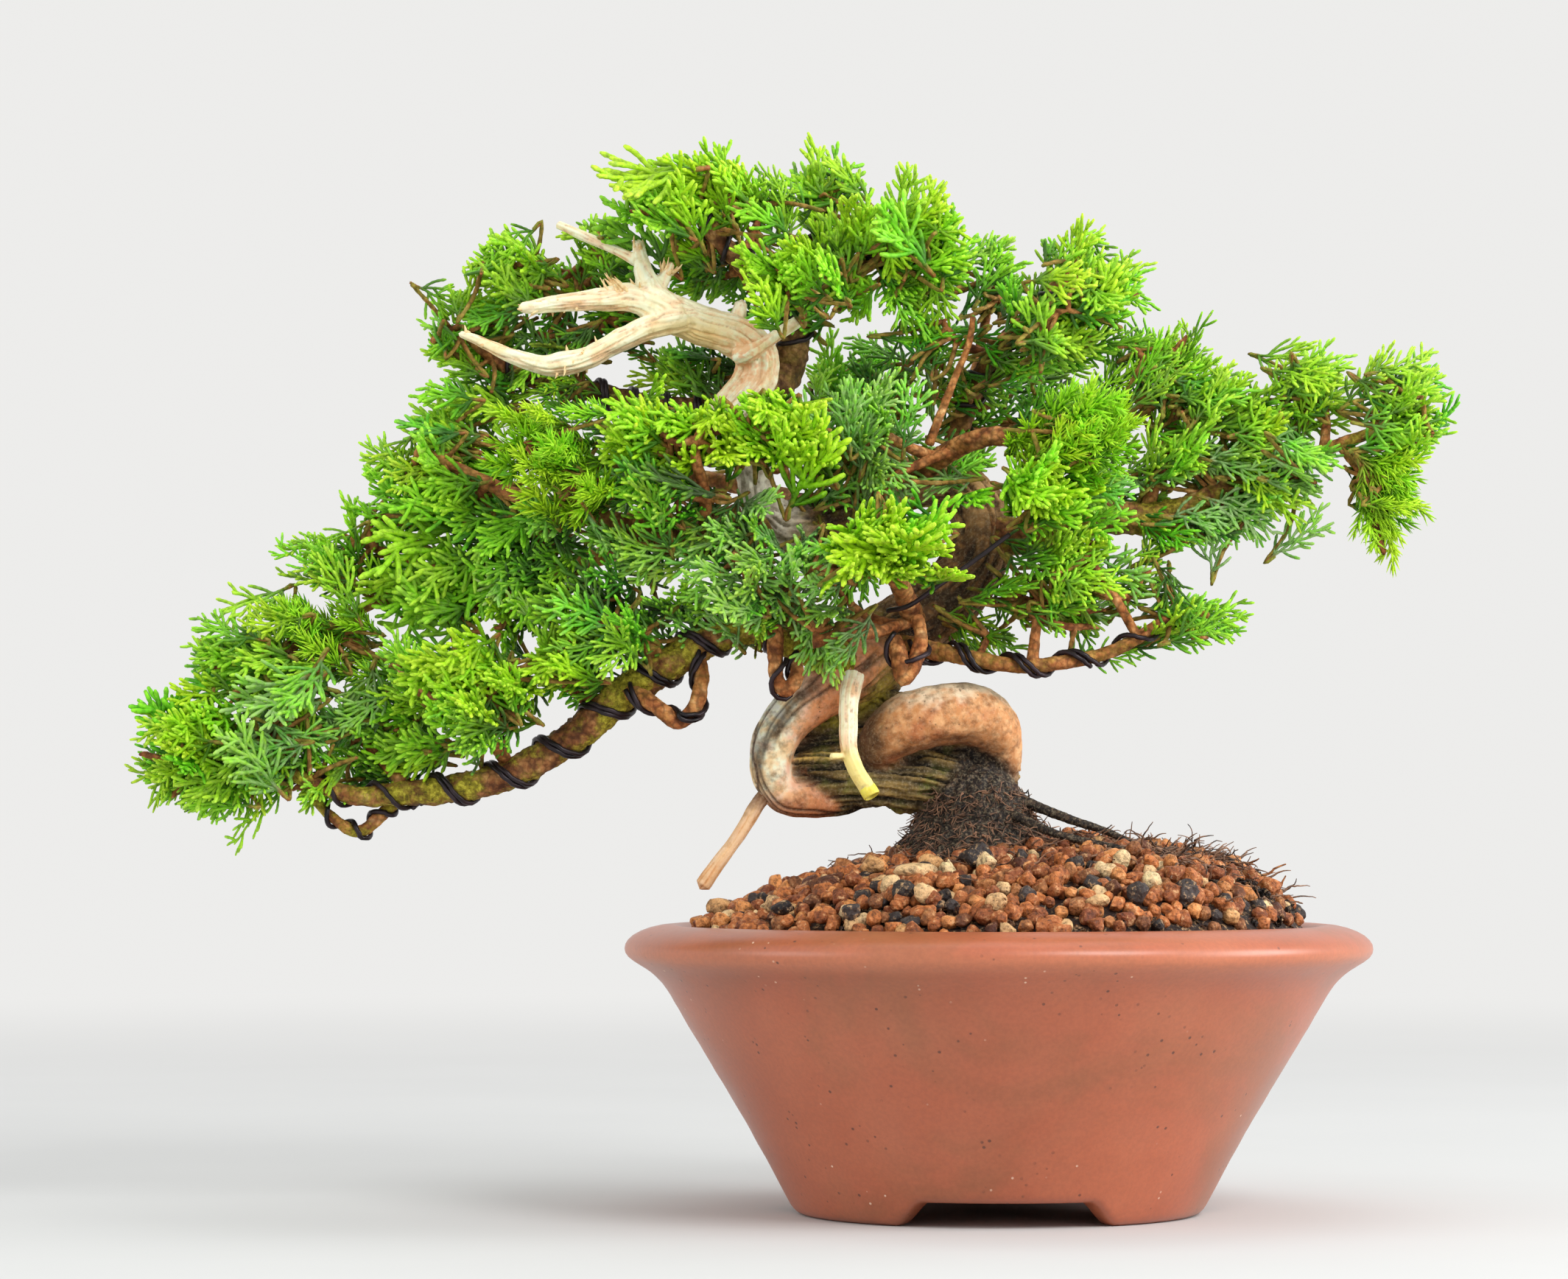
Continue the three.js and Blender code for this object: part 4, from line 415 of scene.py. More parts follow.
class G:
    """Short node-graph helper."""

    def __init__(self, nt):
        self.nt = nt
        self.tc = nt.nodes.new("ShaderNodeTexCoord")

    def node(self, kind, **props):
        n = self.nt.nodes.new(kind)
        for k, v in props.items():
            setattr(n, k, v)
        return n

    def put(self, sock, v):
        if isinstance(v, bpy.types.NodeSocket):
            self.nt.links.new(v, sock)
        else:
            sock.default_value = v

    def attr(self, name, out="Fac"):
        n = self.node("ShaderNodeAttribute", attribute_name=name)
        return n.outputs[out]

    def coord(self, scale=(1, 1, 1)):
        m = self.node("ShaderNodeMapping")
        self.nt.links.new(self.tc.outputs["Object"], m.inputs["Vector"])
        m.inputs["Scale"].default_value = scale
        return m.outputs[0]

    def noise(self, scale, detail=4, rough=0.55, vec=None, distortion=0.0, out="Fac"):
        n = self.node("ShaderNodeTexNoise")
        self.nt.links.new(vec if vec is not None else self.tc.outputs["Object"], n.inputs["Vector"])
        n.inputs["Scale"].default_value = scale
        n.inputs["Detail"].default_value = detail
        n.inputs["Roughness"].default_value = rough
        n.inputs["Distortion"].default_value = distortion
        return n.outputs[out]

    def voronoi(self, scale, feature="F1", vec=None, out="Distance", rand=1.0):
        n = self.node("ShaderNodeTexVoronoi", feature=feature)
        self.nt.links.new(vec if vec is not None else self.tc.outputs["Object"], n.inputs["Vector"])
        n.inputs["Scale"].default_value = scale
        n.inputs["Randomness"].default_value = rand
        return n.outputs[out]

    def ramp(self, fac, stops, interp="LINEAR"):
        n = self.node("ShaderNodeValToRGB")
        n.color_ramp.interpolation = interp
        e = n.color_ramp.elements
        while len(e) < len(stops):
            e.new(0.5)
        for k, (pos, col) in enumerate(stops):
            e[k].position = pos
            e[k].color = col if len(col) == 4 else (*col, 1)
        self.put(n.inputs[0], fac)
        return n.outputs[0]

    def step(self, fac, a, b, lo=0.0, hi=1.0):
        n = self.node("ShaderNodeMapRange", interpolation_type="SMOOTHSTEP")
        self.put(n.inputs[0], fac)
        n.inputs[1].default_value = a
        n.inputs[2].default_value = b
        n.inputs[3].default_value = lo
        n.inputs[4].default_value = hi
        return n.outputs[0]

    def math(self, op, a, b=None, clamp=False):
        n = self.node("ShaderNodeMath", operation=op, use_clamp=clamp)
        self.put(n.inputs[0], a)
        if b is not None:
            self.put(n.inputs[1], b)
        return n.outputs[0]

    def mix(self, fac, a, b, mode="MIX"):
        n = self.node("ShaderNodeMix", data_type="RGBA", blend_type=mode)
        self.put(n.inputs[0], fac)
        self.put(n.inputs[6], a)
        self.put(n.inputs[7], b)
        return n.outputs[2]

    def bump(self, height, strength=0.3, distance=0.0005, normal=None):
        n = self.node("ShaderNodeBump")
        self.put(n.inputs["Height"], height)
        n.inputs["Strength"].default_value = strength
        n.inputs["Distance"].default_value = distance
        if normal is not None:
            self.nt.links.new(normal, n.inputs["Normal"])
        return n.outputs[0]


def mat_pot():
    m, nt, bs = new_mat("stoneware_redbrown")
    g = G(nt)
    big = g.noise(9, 4, 0.55)
    mid = g.noise(38, 5, 0.6)
    base = g.ramp(big, [(0.30, srgb(150, 84, 52)), (0.48, srgb(174, 90, 56)), (0.62, srgb(182, 96, 62)), (0.78, srgb(178, 102, 72))])
    patch = g.step(g.noise(14, 5, 0.62, distortion=0.6), 0.52, 0.68)
    col = g.mix(g.math("MULTIPLY", patch, 0.5), base, srgb(132, 86, 50))
    col = g.mix(g.step(mid, 0.35, 0.75, 0.0, 0.35), col, srgb(198, 116, 80))
    # painted highlight: a lighter band round the rim's outer bulge, from the mask set in pot_piece
    painted_rim_highlight = g.attr("painted_rim_highlight")
    col = g.mix(g.math("MULTIPLY", painted_rim_highlight, 0.55), col, srgb(206, 124, 86))
    grain = g.noise(900, 3, 0.6)
    col = g.mix(g.step(grain, 0.30, 0.70, 0.16, 0.0), col, srgb(96, 52, 38))
    # fine dark and pale specks of the unglazed body
    dv = g.voronoi(340)
    dm = g.step(g.noise(90, 2, 0.5), 0.50, 0.62)
    dark = g.math("MULTIPLY", g.step(dv, 0.10, 0.17, 1.0, 0.0), dm)
    col = g.mix(g.math("MULTIPLY", dark, 0.75), col, srgb(70, 38, 28))
    pv = g.voronoi(260, vec=g.coord((1.13, 0.91, 1.07)))
    pm = g.step(g.noise(60, 2, 0.5), 0.56, 0.66)
    pale = g.math("MULTIPLY", g.step(pv, 0.06, 0.11, 1.0, 0.0), pm)
    col = g.mix(g.math("MULTIPLY", pale, 0.85), col, srgb(238, 205, 180))
    g.put(bs.inputs["Base Color"], col)
    g.put(bs.inputs["Roughness"], g.step(mid, 0.25, 0.8, 0.34, 0.46))
    bs.inputs["Coat Weight"].default_value = 0.32
    bs.inputs["Coat Roughness"].default_value = 0.32
    bs.inputs["Specular IOR Level"].default_value = 0.55
    rings = g.noise(1.0, 3, 0.5, vec=g.coord((18, 18, 520)))
    h = g.math("ADD", g.math("MULTIPLY", rings, 0.35), g.math("MULTIPLY", grain, 0.25))
    h = g.math("ADD", h, g.math("MULTIPLY", dark, -0.6))
    g.put(bs.inputs["Normal"], g.bump(h, 0.35, 0.00025))
    return m


def mat_wood(name, scale_bump=0.35, rough=0.75, pits=0.5, dist=0.0003, dark=True):
    """Painted from the per-vertex colour, with fine grain, pits and bump on top."""
    m, nt, bs = new_mat(name)
    g = G(nt)
    col = g.attr("Col", "Color")
    fine = g.noise(1400, 4, 0.65)
    mid = g.noise(420, 4, 0.6)
    col = g.mix(1.0, col, g.ramp(mid, [(0.30, (0.42, 0.38, 0.34, 1)), (0.55, (1, 1, 1, 1))]) if dark else g.ramp(mid, [(0.30, (0.80, 0.72, 0.60, 1)), (0.5, (1, 1, 1, 1))]), "MULTIPLY")
    col = g.mix(g.step(fine, 0.45, 0.72, 0.0, 0.16), col, srgb(255, 232, 190))
    pv = g.voronoi(700)
    pit = g.math("MULTIPLY", g.step(pv, 0.10, 0.22, 1.0, 0.0), g.step(g.noise(230, 2, 0.5), 0.48, 0.62))
    col = g.mix(g.math("MULTIPLY", pit, pits), col, srgb(45, 28, 18))
    g.put(bs.inputs["Base Color"], col)
    bs.inputs["Roughness"].default_value = rough
    bs.inputs["Specular IOR Level"].default_value = 0.35
    h = g.math("ADD", g.math("MULTIPLY", fine, 0.4), g.math("MULTIPLY", mid, 0.8))
    h = g.math("ADD", h, g.math("MULTIPLY", pit, -0.5))
    g.put(bs.inputs["Normal"], g.bump(h, scale_bump, dist))
    return m


def mat_leaf():
    m, nt, bs = new_mat("scale_leaves")
    g = G(nt)
    # the tone attribute holds the sprays' own tone with painted shade and painted light on it, and the tip mask is
    # dimmed by the painted shade
    tip, tone, bloom, stem = g.attr("tip"), g.attr("tone"), g.attr("bloom"), g.attr("stem")
    hue = g.attr("hue")
    base = g.mix(hue, g.ramp(tone, [(0.0, srgb(18, 38, 4)), (0.3, srgb(84, 128, 6)), (0.62, srgb(150, 198, 12)), (1.0, srgb(192, 232, 28))]),
                 g.ramp(tone, [(0.0, srgb(4, 30, 5)), (0.3, srgb(36, 112, 12)), (0.62, srgb(88, 190, 18)), (1.0, srgb(138, 232, 36))]))
    tipc = g.mix(hue, g.ramp(tone, [(0.0, srgb(92, 134, 12)), (0.35, srgb(168, 216, 26)), (0.7, srgb(198, 240, 38)), (1.0, srgb(218, 252, 66))]),
                 g.ramp(tone, [(0.0, srgb(46, 124, 16)), (0.35, srgb(110, 210, 28)), (0.7, srgb(138, 234, 34)), (1.0, srgb(170, 250, 58))]))
    col = g.mix(g.step(tip, 0.15, 1.0), base, tipc)
    cell = g.noise(760, 3, 0.6)
    col = g.mix(g.step(cell, 0.30, 0.62, 0.5, 0.0), col, srgb(28, 64, 10))
    frost = g.step(g.noise(520, 4, 0.7), 0.36, 0.66)
    bl = g.math("MULTIPLY", bloom, g.math("ADD", g.math("MULTIPLY", frost, 0.75), 0.2), True)
    col = g.mix(bl, col, srgb(172, 200, 140))
    col = g.mix(g.step(stem, 0.2, 0.9), col, g.ramp(cell, [(0.3, srgb(120, 66, 34)), (0.7, srgb(176, 116, 66))]))
    g.put(bs.inputs["Base Color"], col)
    bs.inputs["Roughness"].default_value = 0.46
    bs.inputs["Specular IOR Level"].default_value = 0.18
    bs.inputs["Subsurface Weight"].default_value = 0.0
    bs.inputs["Subsurface Radius"].default_value = (0.4, 1.0, 0.1)
    bs.inputs["Subsurface Scale"].default_value = 0.001
    g.put(bs.inputs["Normal"], g.bump(cell, 0.5, 0.0003))
    return m


def mat_bark():
    m, nt, bs = new_mat("branch_bark")
    g = G(nt)
    moss, age = g.attr("moss"), g.attr("age")
    n1 = g.noise(240, 5, 0.65)
    young = g.ramp(n1, [(0.30, srgb(96, 50, 26)), (0.46, srgb(170, 100, 54)), (0.60, srgb(212, 144, 86)), (0.74, srgb(244, 196, 136))])
    old = g.ramp(n1, [(0.30, srgb(30, 22, 14)), (0.46, srgb(86, 60, 36)), (0.60, srgb(140, 106, 66)), (0.76, srgb(196, 164, 112))])
    col = g.mix(age, young, old)
    scale = g.voronoi(640)
    col = g.mix(g.step(scale, 0.35, 0.75, 0.0, 0.55), col, srgb(52, 26, 14))
    mm = g.math("MULTIPLY", moss, g.step(g.noise(95, 5, 0.7), 0.40, 0.58), True)
    col = g.mix(mm, col, g.ramp(g.noise(700, 4, 0.7), [(0.34, srgb(84, 78, 16)), (0.5, srgb(150, 140, 34)), (0.68, srgb(214, 204, 70))]))
    green = g.attr("green")
    col = g.mix(green, col, g.ramp(g.noise(500, 2, 0.6), [(0.3, srgb(88, 104, 28)), (0.7, srgb(150, 168, 56))]))
    g.put(bs.inputs["Base Color"], col)
    bs.inputs["Roughness"].default_value = 0.8
    bs.inputs["Specular IOR Level"].default_value = 0.3
    h = g.math("ADD", g.math("MULTIPLY", n1, 0.8), g.math("MULTIPLY", scale, -0.6))
    g.put(bs.inputs["Normal"], g.bump(h, 0.9, 0.0009))
    return m


def mat_wire():
    m, nt, bs = new_mat("anodised_wire")
    g = G(nt)
    n = g.noise(160, 3, 0.6)
    g.put(bs.inputs["Base Color"], g.ramp(n, [(0.35, srgb(26, 21, 24)), (0.65, srgb(58, 44, 50))]))
    bs.inputs["Metallic"].default_value = 0.45
    g.put(bs.inputs["Roughness"], g.step(n, 0.3, 0.7, 0.30, 0.46))
    g.put(bs.inputs["Normal"], g.bump(g.noise(1500, 2, 0.5), 0.08, 0.0001))
    return m


def mat_cut():
    m, nt, bs = new_mat("wire_cut_end")
    g = G(nt)
    n = g.noise(2000, 2, 0.6)
    g.put(bs.inputs["Base Color"], g.ramp(n, [(0.35, srgb(150, 150, 152)), (0.65, srgb(215, 215, 218))]))
    bs.inputs["Metallic"].default_value = 0.9
    bs.inputs["Roughness"].default_value = 0.35
    return m


def mat_grain():
    """Soil grains, painted per grain by the colour attribute and porous, with painted shade in the low parts and pores
    of the bump and a painted highlight on its raised parts.
    """
    m, nt, bs = new_mat("soil_grains")
    g = G(nt)
    col = g.attr("Col", "Color")
    n = g.noise(620, 5, 0.7)
    p = g.voronoi(900)
    # painted shade where the bump is low
    col = g.mix(g.step(n, 0.32, 0.56, 0.72, 0.0), col, srgb(44, 18, 8))
    # painted highlight where the bump is high
    col = g.mix(g.step(n, 0.52, 0.72, 0.0, 0.7), col, srgb(252, 202, 146))
    # painted shade in the pores
    col = g.mix(g.step(p, 0.08, 0.24, 0.6, 0.0), col, srgb(28, 12, 8))
    g.put(bs.inputs["Base Color"], col)
    bs.inputs["Roughness"].default_value = 0.55
    bs.inputs["Specular IOR Level"].default_value = 0.45
    g.put(bs.inputs["Normal"], g.bump(g.math("ADD", n, g.math("MULTIPLY", p, 0.5)), 1.0, 0.0009))
    return m


def mat_plain(name, c0, c1, scale, rough, metal=0.0):
    m, nt, bs = new_mat(name)
    g = G(nt)
    n = g.noise(scale, 4, 0.6)
    g.put(bs.inputs["Base Color"], g.ramp(n, [(0.35, c0), (0.65, c1)]))
    bs.inputs["Roughness"].default_value = rough
    bs.inputs["Metallic"].default_value = metal
    g.put(bs.inputs["Normal"], g.bump(n, 0.3, 0.0003))
    return m


M_POT, M_LEAF, M_BARK, M_WIRE, M_GRAIN = mat_pot(), mat_leaf(), mat_bark(), mat_wire(), mat_grain()
M_TRUNK = mat_wood("trunk_bark", 0.45, 0.72, 0.55, 0.0004)
M_DEAD = mat_wood("dead_wood", 0.35, 0.66, 0.07, 0.0003, False)
M_ROOT = mat_plain("root_fibre", srgb(16, 9, 8), srgb(158, 116, 88), 320, 0.7)
M_MESH = mat_plain("drain_mesh_plastic", srgb(16, 44, 26), srgb(34, 70, 44), 600, 0.6)
M_CLIP = mat_plain("clip_wire_metal", srgb(72, 60, 52), srgb(120, 104, 92), 500, 0.4, 0.7)
M_CUT = mat_cut()

# ------------------------------------------------------------------ pot
WALL = np.array([
    [0.0, 48.9], [2.4, 50.4], [5.9, 52.3], [9.5, 54.2], [13.1, 56.1], [16.7, 58.2], [20.3, 60.1], [23.9, 62.2], [27.4, 64.3], [31.0, 66.4],
    [34.6, 68.6], [38.2, 70.8], [41.8, 72.9], [45.3, 75.1], [48.9, 77.1], [52.5, 79.2], [55.0, 80.8], [56.4, 82.0]])


def pot_piece():
    seg = 360
    th = np.linspace(0, 2 * PI, seg, endpoint=False)
    # height of the foot's lower edge round the ring: three wide cut-outs with sloped ends
    z0 = np.zeros(seg)
    for c in (-90.0, 30.0, 150.0):
        d = np.abs((np.degrees(th) - c + 180) % 360 - 180)
        chord = 48.0 * np.sin(np.radians(np.minimum(d, 89)))
        z0 = np.maximum(z0, 6.0 * (1 - smooth(chord, 18.4, 26.1) ** 0.9) * (d < 90))
    wall = lambda z: np.interp(z, WALL[:, 0], WALL[:, 1])
    rows = []  # each row: (radius per angle, height per angle)
    rows.append((np.zeros(seg) + 0.01, np.full(seg, 6.7)))
    rows.append((np.full(seg, 12.0), np.full(seg, 6.65)))
    for r in (20, 30, 38, 41.5):
        rows.append((np.full(seg, float(r)), np.full(seg, 6.6)))
    rows.append((np.full(seg, 42.6), np.full(seg, 6.45)))
    rows.append((np.full(seg, 43.1), np.minimum(6.3, z0 + 2.0)))
    rows.append((np.full(seg, 43.5), np.minimum(6.2, z0 + 0.7)))
    rows.append((np.full(seg, 44.2), z0 + 0.12))
    rows.append((np.full(seg, 45.0), z0))
    rows.append((wall(z0) - 2.0, z0))
    rows.append((wall(z0) - 1.1, z0 + 0.15))
    rows.append((wall(z0 + 0.6) - 0.42, z0 + 0.6))
    rows.append((wall(z0 + 1.3) - 0.08, z0 + 1.3))
    rows.append((wall(z0 + 2.2), z0 + 2.2))
    for k in np.linspace(0.12, 1.0, 10):
        z = (z0 + 2.2) * (1 - k) + 13.0 * k
        rows.append((wall(z), z))
    for z in np.arange(15.0, 56.0, 1.5):
        rows.append((np.full(seg, wall(z)), np.full(seg, z)))
    rim = [(82.1, 56.4), (83.0, 57.3), (83.9, 58.1), (85.0, 58.9), (86.6, 59.9), (88.2, 60.9), (89.5, 61.9), (90.2, 62.9), (90.4, 63.9), (90.2, 65.0),
           (89.6, 66.0), (88.4, 67.1), (86.6, 68.1), (84.4, 68.9), (82.0, 69.45), (79.8, 69.65), (78.0, 69.5), (76.9, 69.05), (76.2, 68.4), (75.8, 67.4), (75.5, 65.5), (75.0, 62.0)]
    for r, z in rim:
        rows.append((np.full(seg, r), np.full(seg, z)))
    for r, z in [(73.8, 57), (71.8, 52), (67.6, 45), (63, 36), (58, 28), (53.5, 20), (50.2, 15), (48.9, 13.4), (47.5, 12.6), (40, 12.5), (26, 12.5), (12.0, 12.5)]:
        rows.append((np.full(seg, float(r)), np.full(seg, float(z))))
    # the drain hole: the first row is dropped, and the last joins the second
    rows = rows[1:]
    Rr = np.array([r for r, z in rows])
    Zz = np.array([z for r, z in rows])
    n = len(rows)
    # hand-thrown: very slightly out of round
    wob = 0.16 * np.sin(2 * th + 0.7)[None] + 0.10 * np.sin(3 * th + 2.1)[None]
    amt = np.clip((Zz - 14) / 40, 0, 1)
    X = (Rr + wob * amt) * np.cos(th)[None]
    Y = (Rr + wob * amt) * np.sin(th)[None]
    V = np.stack([X, Y, Zz], -1).reshape(-1, 3)
    tn = fbm(V * np.array([0.03, 0.03, 0.25]), 5, 3)
    rad = unit(V * np.array([1, 1, 0]))
    keep = (V[:, 2] > 14) & (np.hypot(V[:, 0], V[:, 1]) > 58)
    V = V + rad * (tn * 0.16 * keep)[:, None]
    idx = np.arange(n * seg).reshape(n, seg)
    nxt = np.roll(idx, -1, 1)
    a = np.vstack([idx, idx[:1]])
    b = np.vstack([nxt, nxt[:1]])
    Q = np.stack([a[:-1], b[:-1], b[1:], a[1:]], -1).reshape(-1, 4)
    zz = V[:, 2]
    # painted highlight: a band round the outer bulge of the rim
    painted_rim_highlight = np.exp(-((zz - 62.5) / 2.2) ** 2) * (np.hypot(V[:, 0], V[:, 1]) > 80)
    ob = mesh_object("pot_body", V, Q, None, {"painted_rim_highlight": painted_rim_highlight}, None, M_POT)
    return piece(ob, "pot_stoneware", "pot")


pot_piece()
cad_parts["drain_mesh"].data.materials.clear()
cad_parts["drain_mesh"].data.materials.append(M_MESH)
for n in ("mesh_clip", "tie_down_wire"):
    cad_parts[n].data.materials.clear()
    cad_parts[n].data.materials.append(M_CLIP)


# ------------------------------------------------------------------ soil
def heap(x, y):
    rho = np.minimum(1, np.hypot(x, y) / 76)
    side = (1 + x / (np.hypot(x, y) + 1e-9)) / 2
    left = 68.6 + 17.5 * (1 - rho ** 2.6) + 6 * np.exp(-((rho / 0.28) ** 2))
    right = 68.6 + 21 * (1 - rho ** 5) + 3 * np.exp(-((rho / 0.3) ** 2))
    return left * (1 - side * side) + right * side * side


def icosphere(sub):
    import bmesh

    bm = bmesh.new()
    bmesh.ops.create_icosphere(bm, subdivisions=sub, radius=1.0)
    V = np.array([v.co[:] for v in bm.verts])
    F = np.array([[v.index for v in f.verts] for f in bm.faces])
    bm.free()
    return V, F


def soil_pieces():
    rng = np.random.default_rng(11)
    # underlying bed, coloured near-black as painted shade in the gaps between the grains
    rr = np.linspace(0.5, 75.2, 70)
    th = np.linspace(0, 2 * PI, 220, endpoint=False)
    X = rr[:, None] * np.cos(th)[None]
    Y = rr[:, None] * np.sin(th)[None]
    V = np.stack([X, Y, np.zeros_like(X)], -1).reshape(-1, 3)
    V[:, 2] = heap(V[:, 0], V[:, 1]) - 3.0 + 0.9 * fbm(V * 0.35, 3, 3)
    n, seg = len(rr), len(th)
    idx = np.arange(n * seg).reshape(n, seg)
    nxt = np.roll(idx, -1, 1)
    Q = np.stack([idx[:-1], idx[1:], nxt[1:], nxt[:-1]], -1).reshape(-1, 4)
    # close it: skirt down inside the pot and a flat underside
    low = np.stack([58 * np.cos(th), 58 * np.sin(th), np.full(seg, 30.0)], -1)
    cen = np.array([[0, 0, 30.0], [0, 0, V[0, 2]]])
    base = len(V)
    V = np.vstack([V, low, cen])
    li = base + np.arange(seg)
    ln = np.roll(li, -1)
    Q = np.vstack([Q, np.stack([idx[-1], li, ln, nxt[-1]], -1)])
    T = np.vstack([np.stack([np.full(seg, base + seg), ln, li], -1), np.stack([np.full(seg, base + seg + 1), idx[0], nxt[0]], -1)])
    # near-black: painted shade seen between the grains
    c = mix(S3(18, 8, 5), S3(42, 22, 12), smooth(fbm(V * 0.8, 9, 2), -0.3, 0.5))
    bed = mesh_object("soil_bed_painted_shade", V, Q, T, None, c, M_GRAIN)
    piece(bed, "soil_grains", "soil_mound")
    # grain shapes
    base1, F1 = icosphere(3)
    base0, F0 = icosphere(2)
    shapes = []
    for k in range(30):
        v = base1 * rng.uniform(0.72, 1.1, 3)
        v = v * (1 + 0.24 * perlin(base1 * 1.2 + k * 7.7, k) + 0.13 * perlin(base1 * 2.9 + k * 3.3, k + 50) + 0.05 * perlin(base1 * 6.5 + k, k + 90))[:, None]
        # broken faces and a few pores
        for j in range(7):
            d = unit(rng.normal(size=3))
            h = v @ d
            cut = rng.uniform(0.52, 0.84)
            v = v - np.maximum(h - cut, 0)[:, None] * d[None] * 0.92
        for j in range(5):
            d = unit(rng.normal(size=3))
            q = np.linalg.norm(base1 - d, axis=1)
            v = v * (1 - 0.20 * np.exp(-((q / 0.20) ** 2)))[:, None]
        shapes.append(v)
    # positions: rejection-free jittered hex grid, two layers
    pts = []
    for layer, pitch in ((0, 3.75), (1, 3.9)):
        ny = int(160 / (pitch * 0.866))
        for iy in range(-ny // 2, ny // 2 + 1):
            for ix in range(-int(80 / pitch), int(80 / pitch) + 1):
                x = (ix + 0.5 * (iy & 1)) * pitch + rng.normal(0, 0.75)
                y = iy * pitch * 0.866 + rng.normal(0, 0.75)
                r = math.hypot(x, y)
                if r < 73.9:
                    pts.append((x, y, layer))
    P = np.array(pts)
    size = 1.75 + 1.25 * rng.beta(2, 2.6, len(P))
    size[rng.random(len(P)) < 0.06] *= 1.2
    z = heap(P[:, 0], P[:, 1]) - 2.1 - P[:, 2] * 2.2 + rng.normal(0, 0.6, len(P))
    top = (P[:, 2] == 0) & (rng.random(len(P)) < 0.34)
    z[top] += 1.2
    # keep off the rim
    r = np.hypot(P[:, 0], P[:, 1])
    ok = r + size < 75.3
    # the root neck fills the middle
    neck = np.hypot(P[:, 0] + 5.2, P[:, 1])
    ok &= neck > 15
    P, size, z, neck_d = P[ok], size[ok], z[ok], neck[ok]
    kinds = rng.random(len(P))
    clump = fbm(np.stack([P[:, 0] * 0.05, P[:, 1] * 0.05, P[:, 2]], 1), 77, 2)
    soups = {}

    def grain(x, y, zc, s, kind, shape=None, stretch=None, col=None, low=False):
        v = shapes[rng.integers(len(shapes))] if shape is None else shapes[shape]
        B1, FF = base1, F1
        if low:
            v, B1, FF = v[: len(base0)], base0, F0
        q = rng.normal(size=4)
        q /= np.linalg.norm(q)
        w, a, b, c = q
        Rm = np.array([[1 - 2 * (b * b + c * c), 2 * (a * b - c * w), 2 * (a * c + b * w)], [2 * (a * b + c * w), 1 - 2 * (a * a + c * c), 2 * (b * c - a * w)], [2 * (a * c - b * w), 2 * (b * c + a * w), 1 - 2 * (a * a + b * b)]])
        vv = (v * s) @ Rm.T
        if stretch is not None:
            vv = vv * np.array(stretch)
        vv = vv + np.array([x, y, zc])
        if col is None:
            if kind == "akadama":
                t = rng.random()
                col = mix(S3(132, 66, 30), S3(206, 122, 62), np.array([t]))[0] if rng.random() < 0.72 else mix(S3(84, 38, 20), S3(232, 152, 84), np.array([rng.random()]))[0]
            elif kind == "pumice":
                col = mix(S3(206, 150, 90), S3(248, 218, 166), np.array([rng.random()]))[0]
            else:
                col = mix(S3(22, 20, 22), S3(70, 62, 60), np.array([rng.random()]))[0]
        # grains passed as low (the lower layer, and the shaded grains by the neck) are darkened to 0.30: painted shade
        # in the gaps between grains
        cc = np.tile(col, (len(vv), 1)) * (1 + 0.30 * perlin(B1 * 2 + x, 5))[:, None] * (0.30 if low else 1.10)
        sector = int((math.atan2(y, x) / (2 * PI) + 0.5) * 5.999)
        key = "%s_%d" % ("stones" if kind != "akadama" or low else "akadama", sector if kind == "akadama" and not low else 0)
        soups.setdefault(key, Soup()).add(vv, None, FF, cr=cc[:, 0], cg=cc[:, 1], cb=cc[:, 2])

    for i in range(len(P)):
        k = kinds[i]
        kind = "akadama" if k < 0.865 else ("pumice" if k < 0.935 else "lava")
        if kind == "akadama" and clump[i] > 0.42 and rng.random() < 0.25:
            kind = "lava"
        shade = smooth(np.array(23 - neck_d[i]), 0, 9) + 0.8 * smooth(np.array(P[i, 0] + 0.4 * P[i, 1]), 30, 44) * (rng.random() < 0.35)
        if rng.random() < shade * 0.8:
            grain(P[i, 0], P[i, 1], z[i], size[i] * 0.8, kind, None, None, mix(S3(30, 20, 16), S3(74, 48, 34), np.array([rng.random()]))[0], True)
        else:
            grain(P[i, 0], P[i, 1], z[i], size[i], kind, None, None, None, P[i, 2] > 0)
    # larger single stones
    for x, y, s, kind, st in [(-31, -24, 3.0, "pumice", (1, 1, 1)), (-21, -40, 3.9, "pumice", (1.5, 1, 0.75)), (-17, -34, 3.4, "pumice", (1.3, 1, 0.8)), (-27, -48, 3.1, "pumice", (1, 1, 1.1)),
                              (-19, -58, 2.9, "pumice", (1, 1, 1)), (-4, -40, 2.8, "pumice", (1, 1, 1)), (20, -64, 2.7, "pumice", (1.2, 1, 0.8)), (-3, -66, 2.6, "pumice", (1, 1, 1)),
                              (-67.5, -6, 2.7, "pumice", (1.5, 1, 0.95)), (-24, -54, 3.4, "lava", (1.2, 1, 0.9)), (-6, -32, 3.2, "lava", (1.3, 1, 1)), (-52, -42, 2.8, "lava", (1.3, 1, 0.8)),
                              (-36, -58, 2.6, "lava", (1, 1, 1)), (30, -58, 2.8, "lava", (1, 1, 1)), (42, -52, 2.7, "lava", (1.2, 1, 1)), (30, 30, 3.0, "pumice", (1, 1, 1)), (-20, 44, 3.2, "pumice", (1.2, 1, 1)),
                              (50, 20, 2.7, "lava", (1, 1, 1)), (-45, 30, 2.8, "lava", (1, 1, 1)), (10, 55, 2.8, "pumice", (1, 1, 1))]:
        grain(x, y, heap(x, y) + 0.9, s, kind, None, st)
    for kind, sp in soups.items():
        V, Q, T, A = sp.arrays()
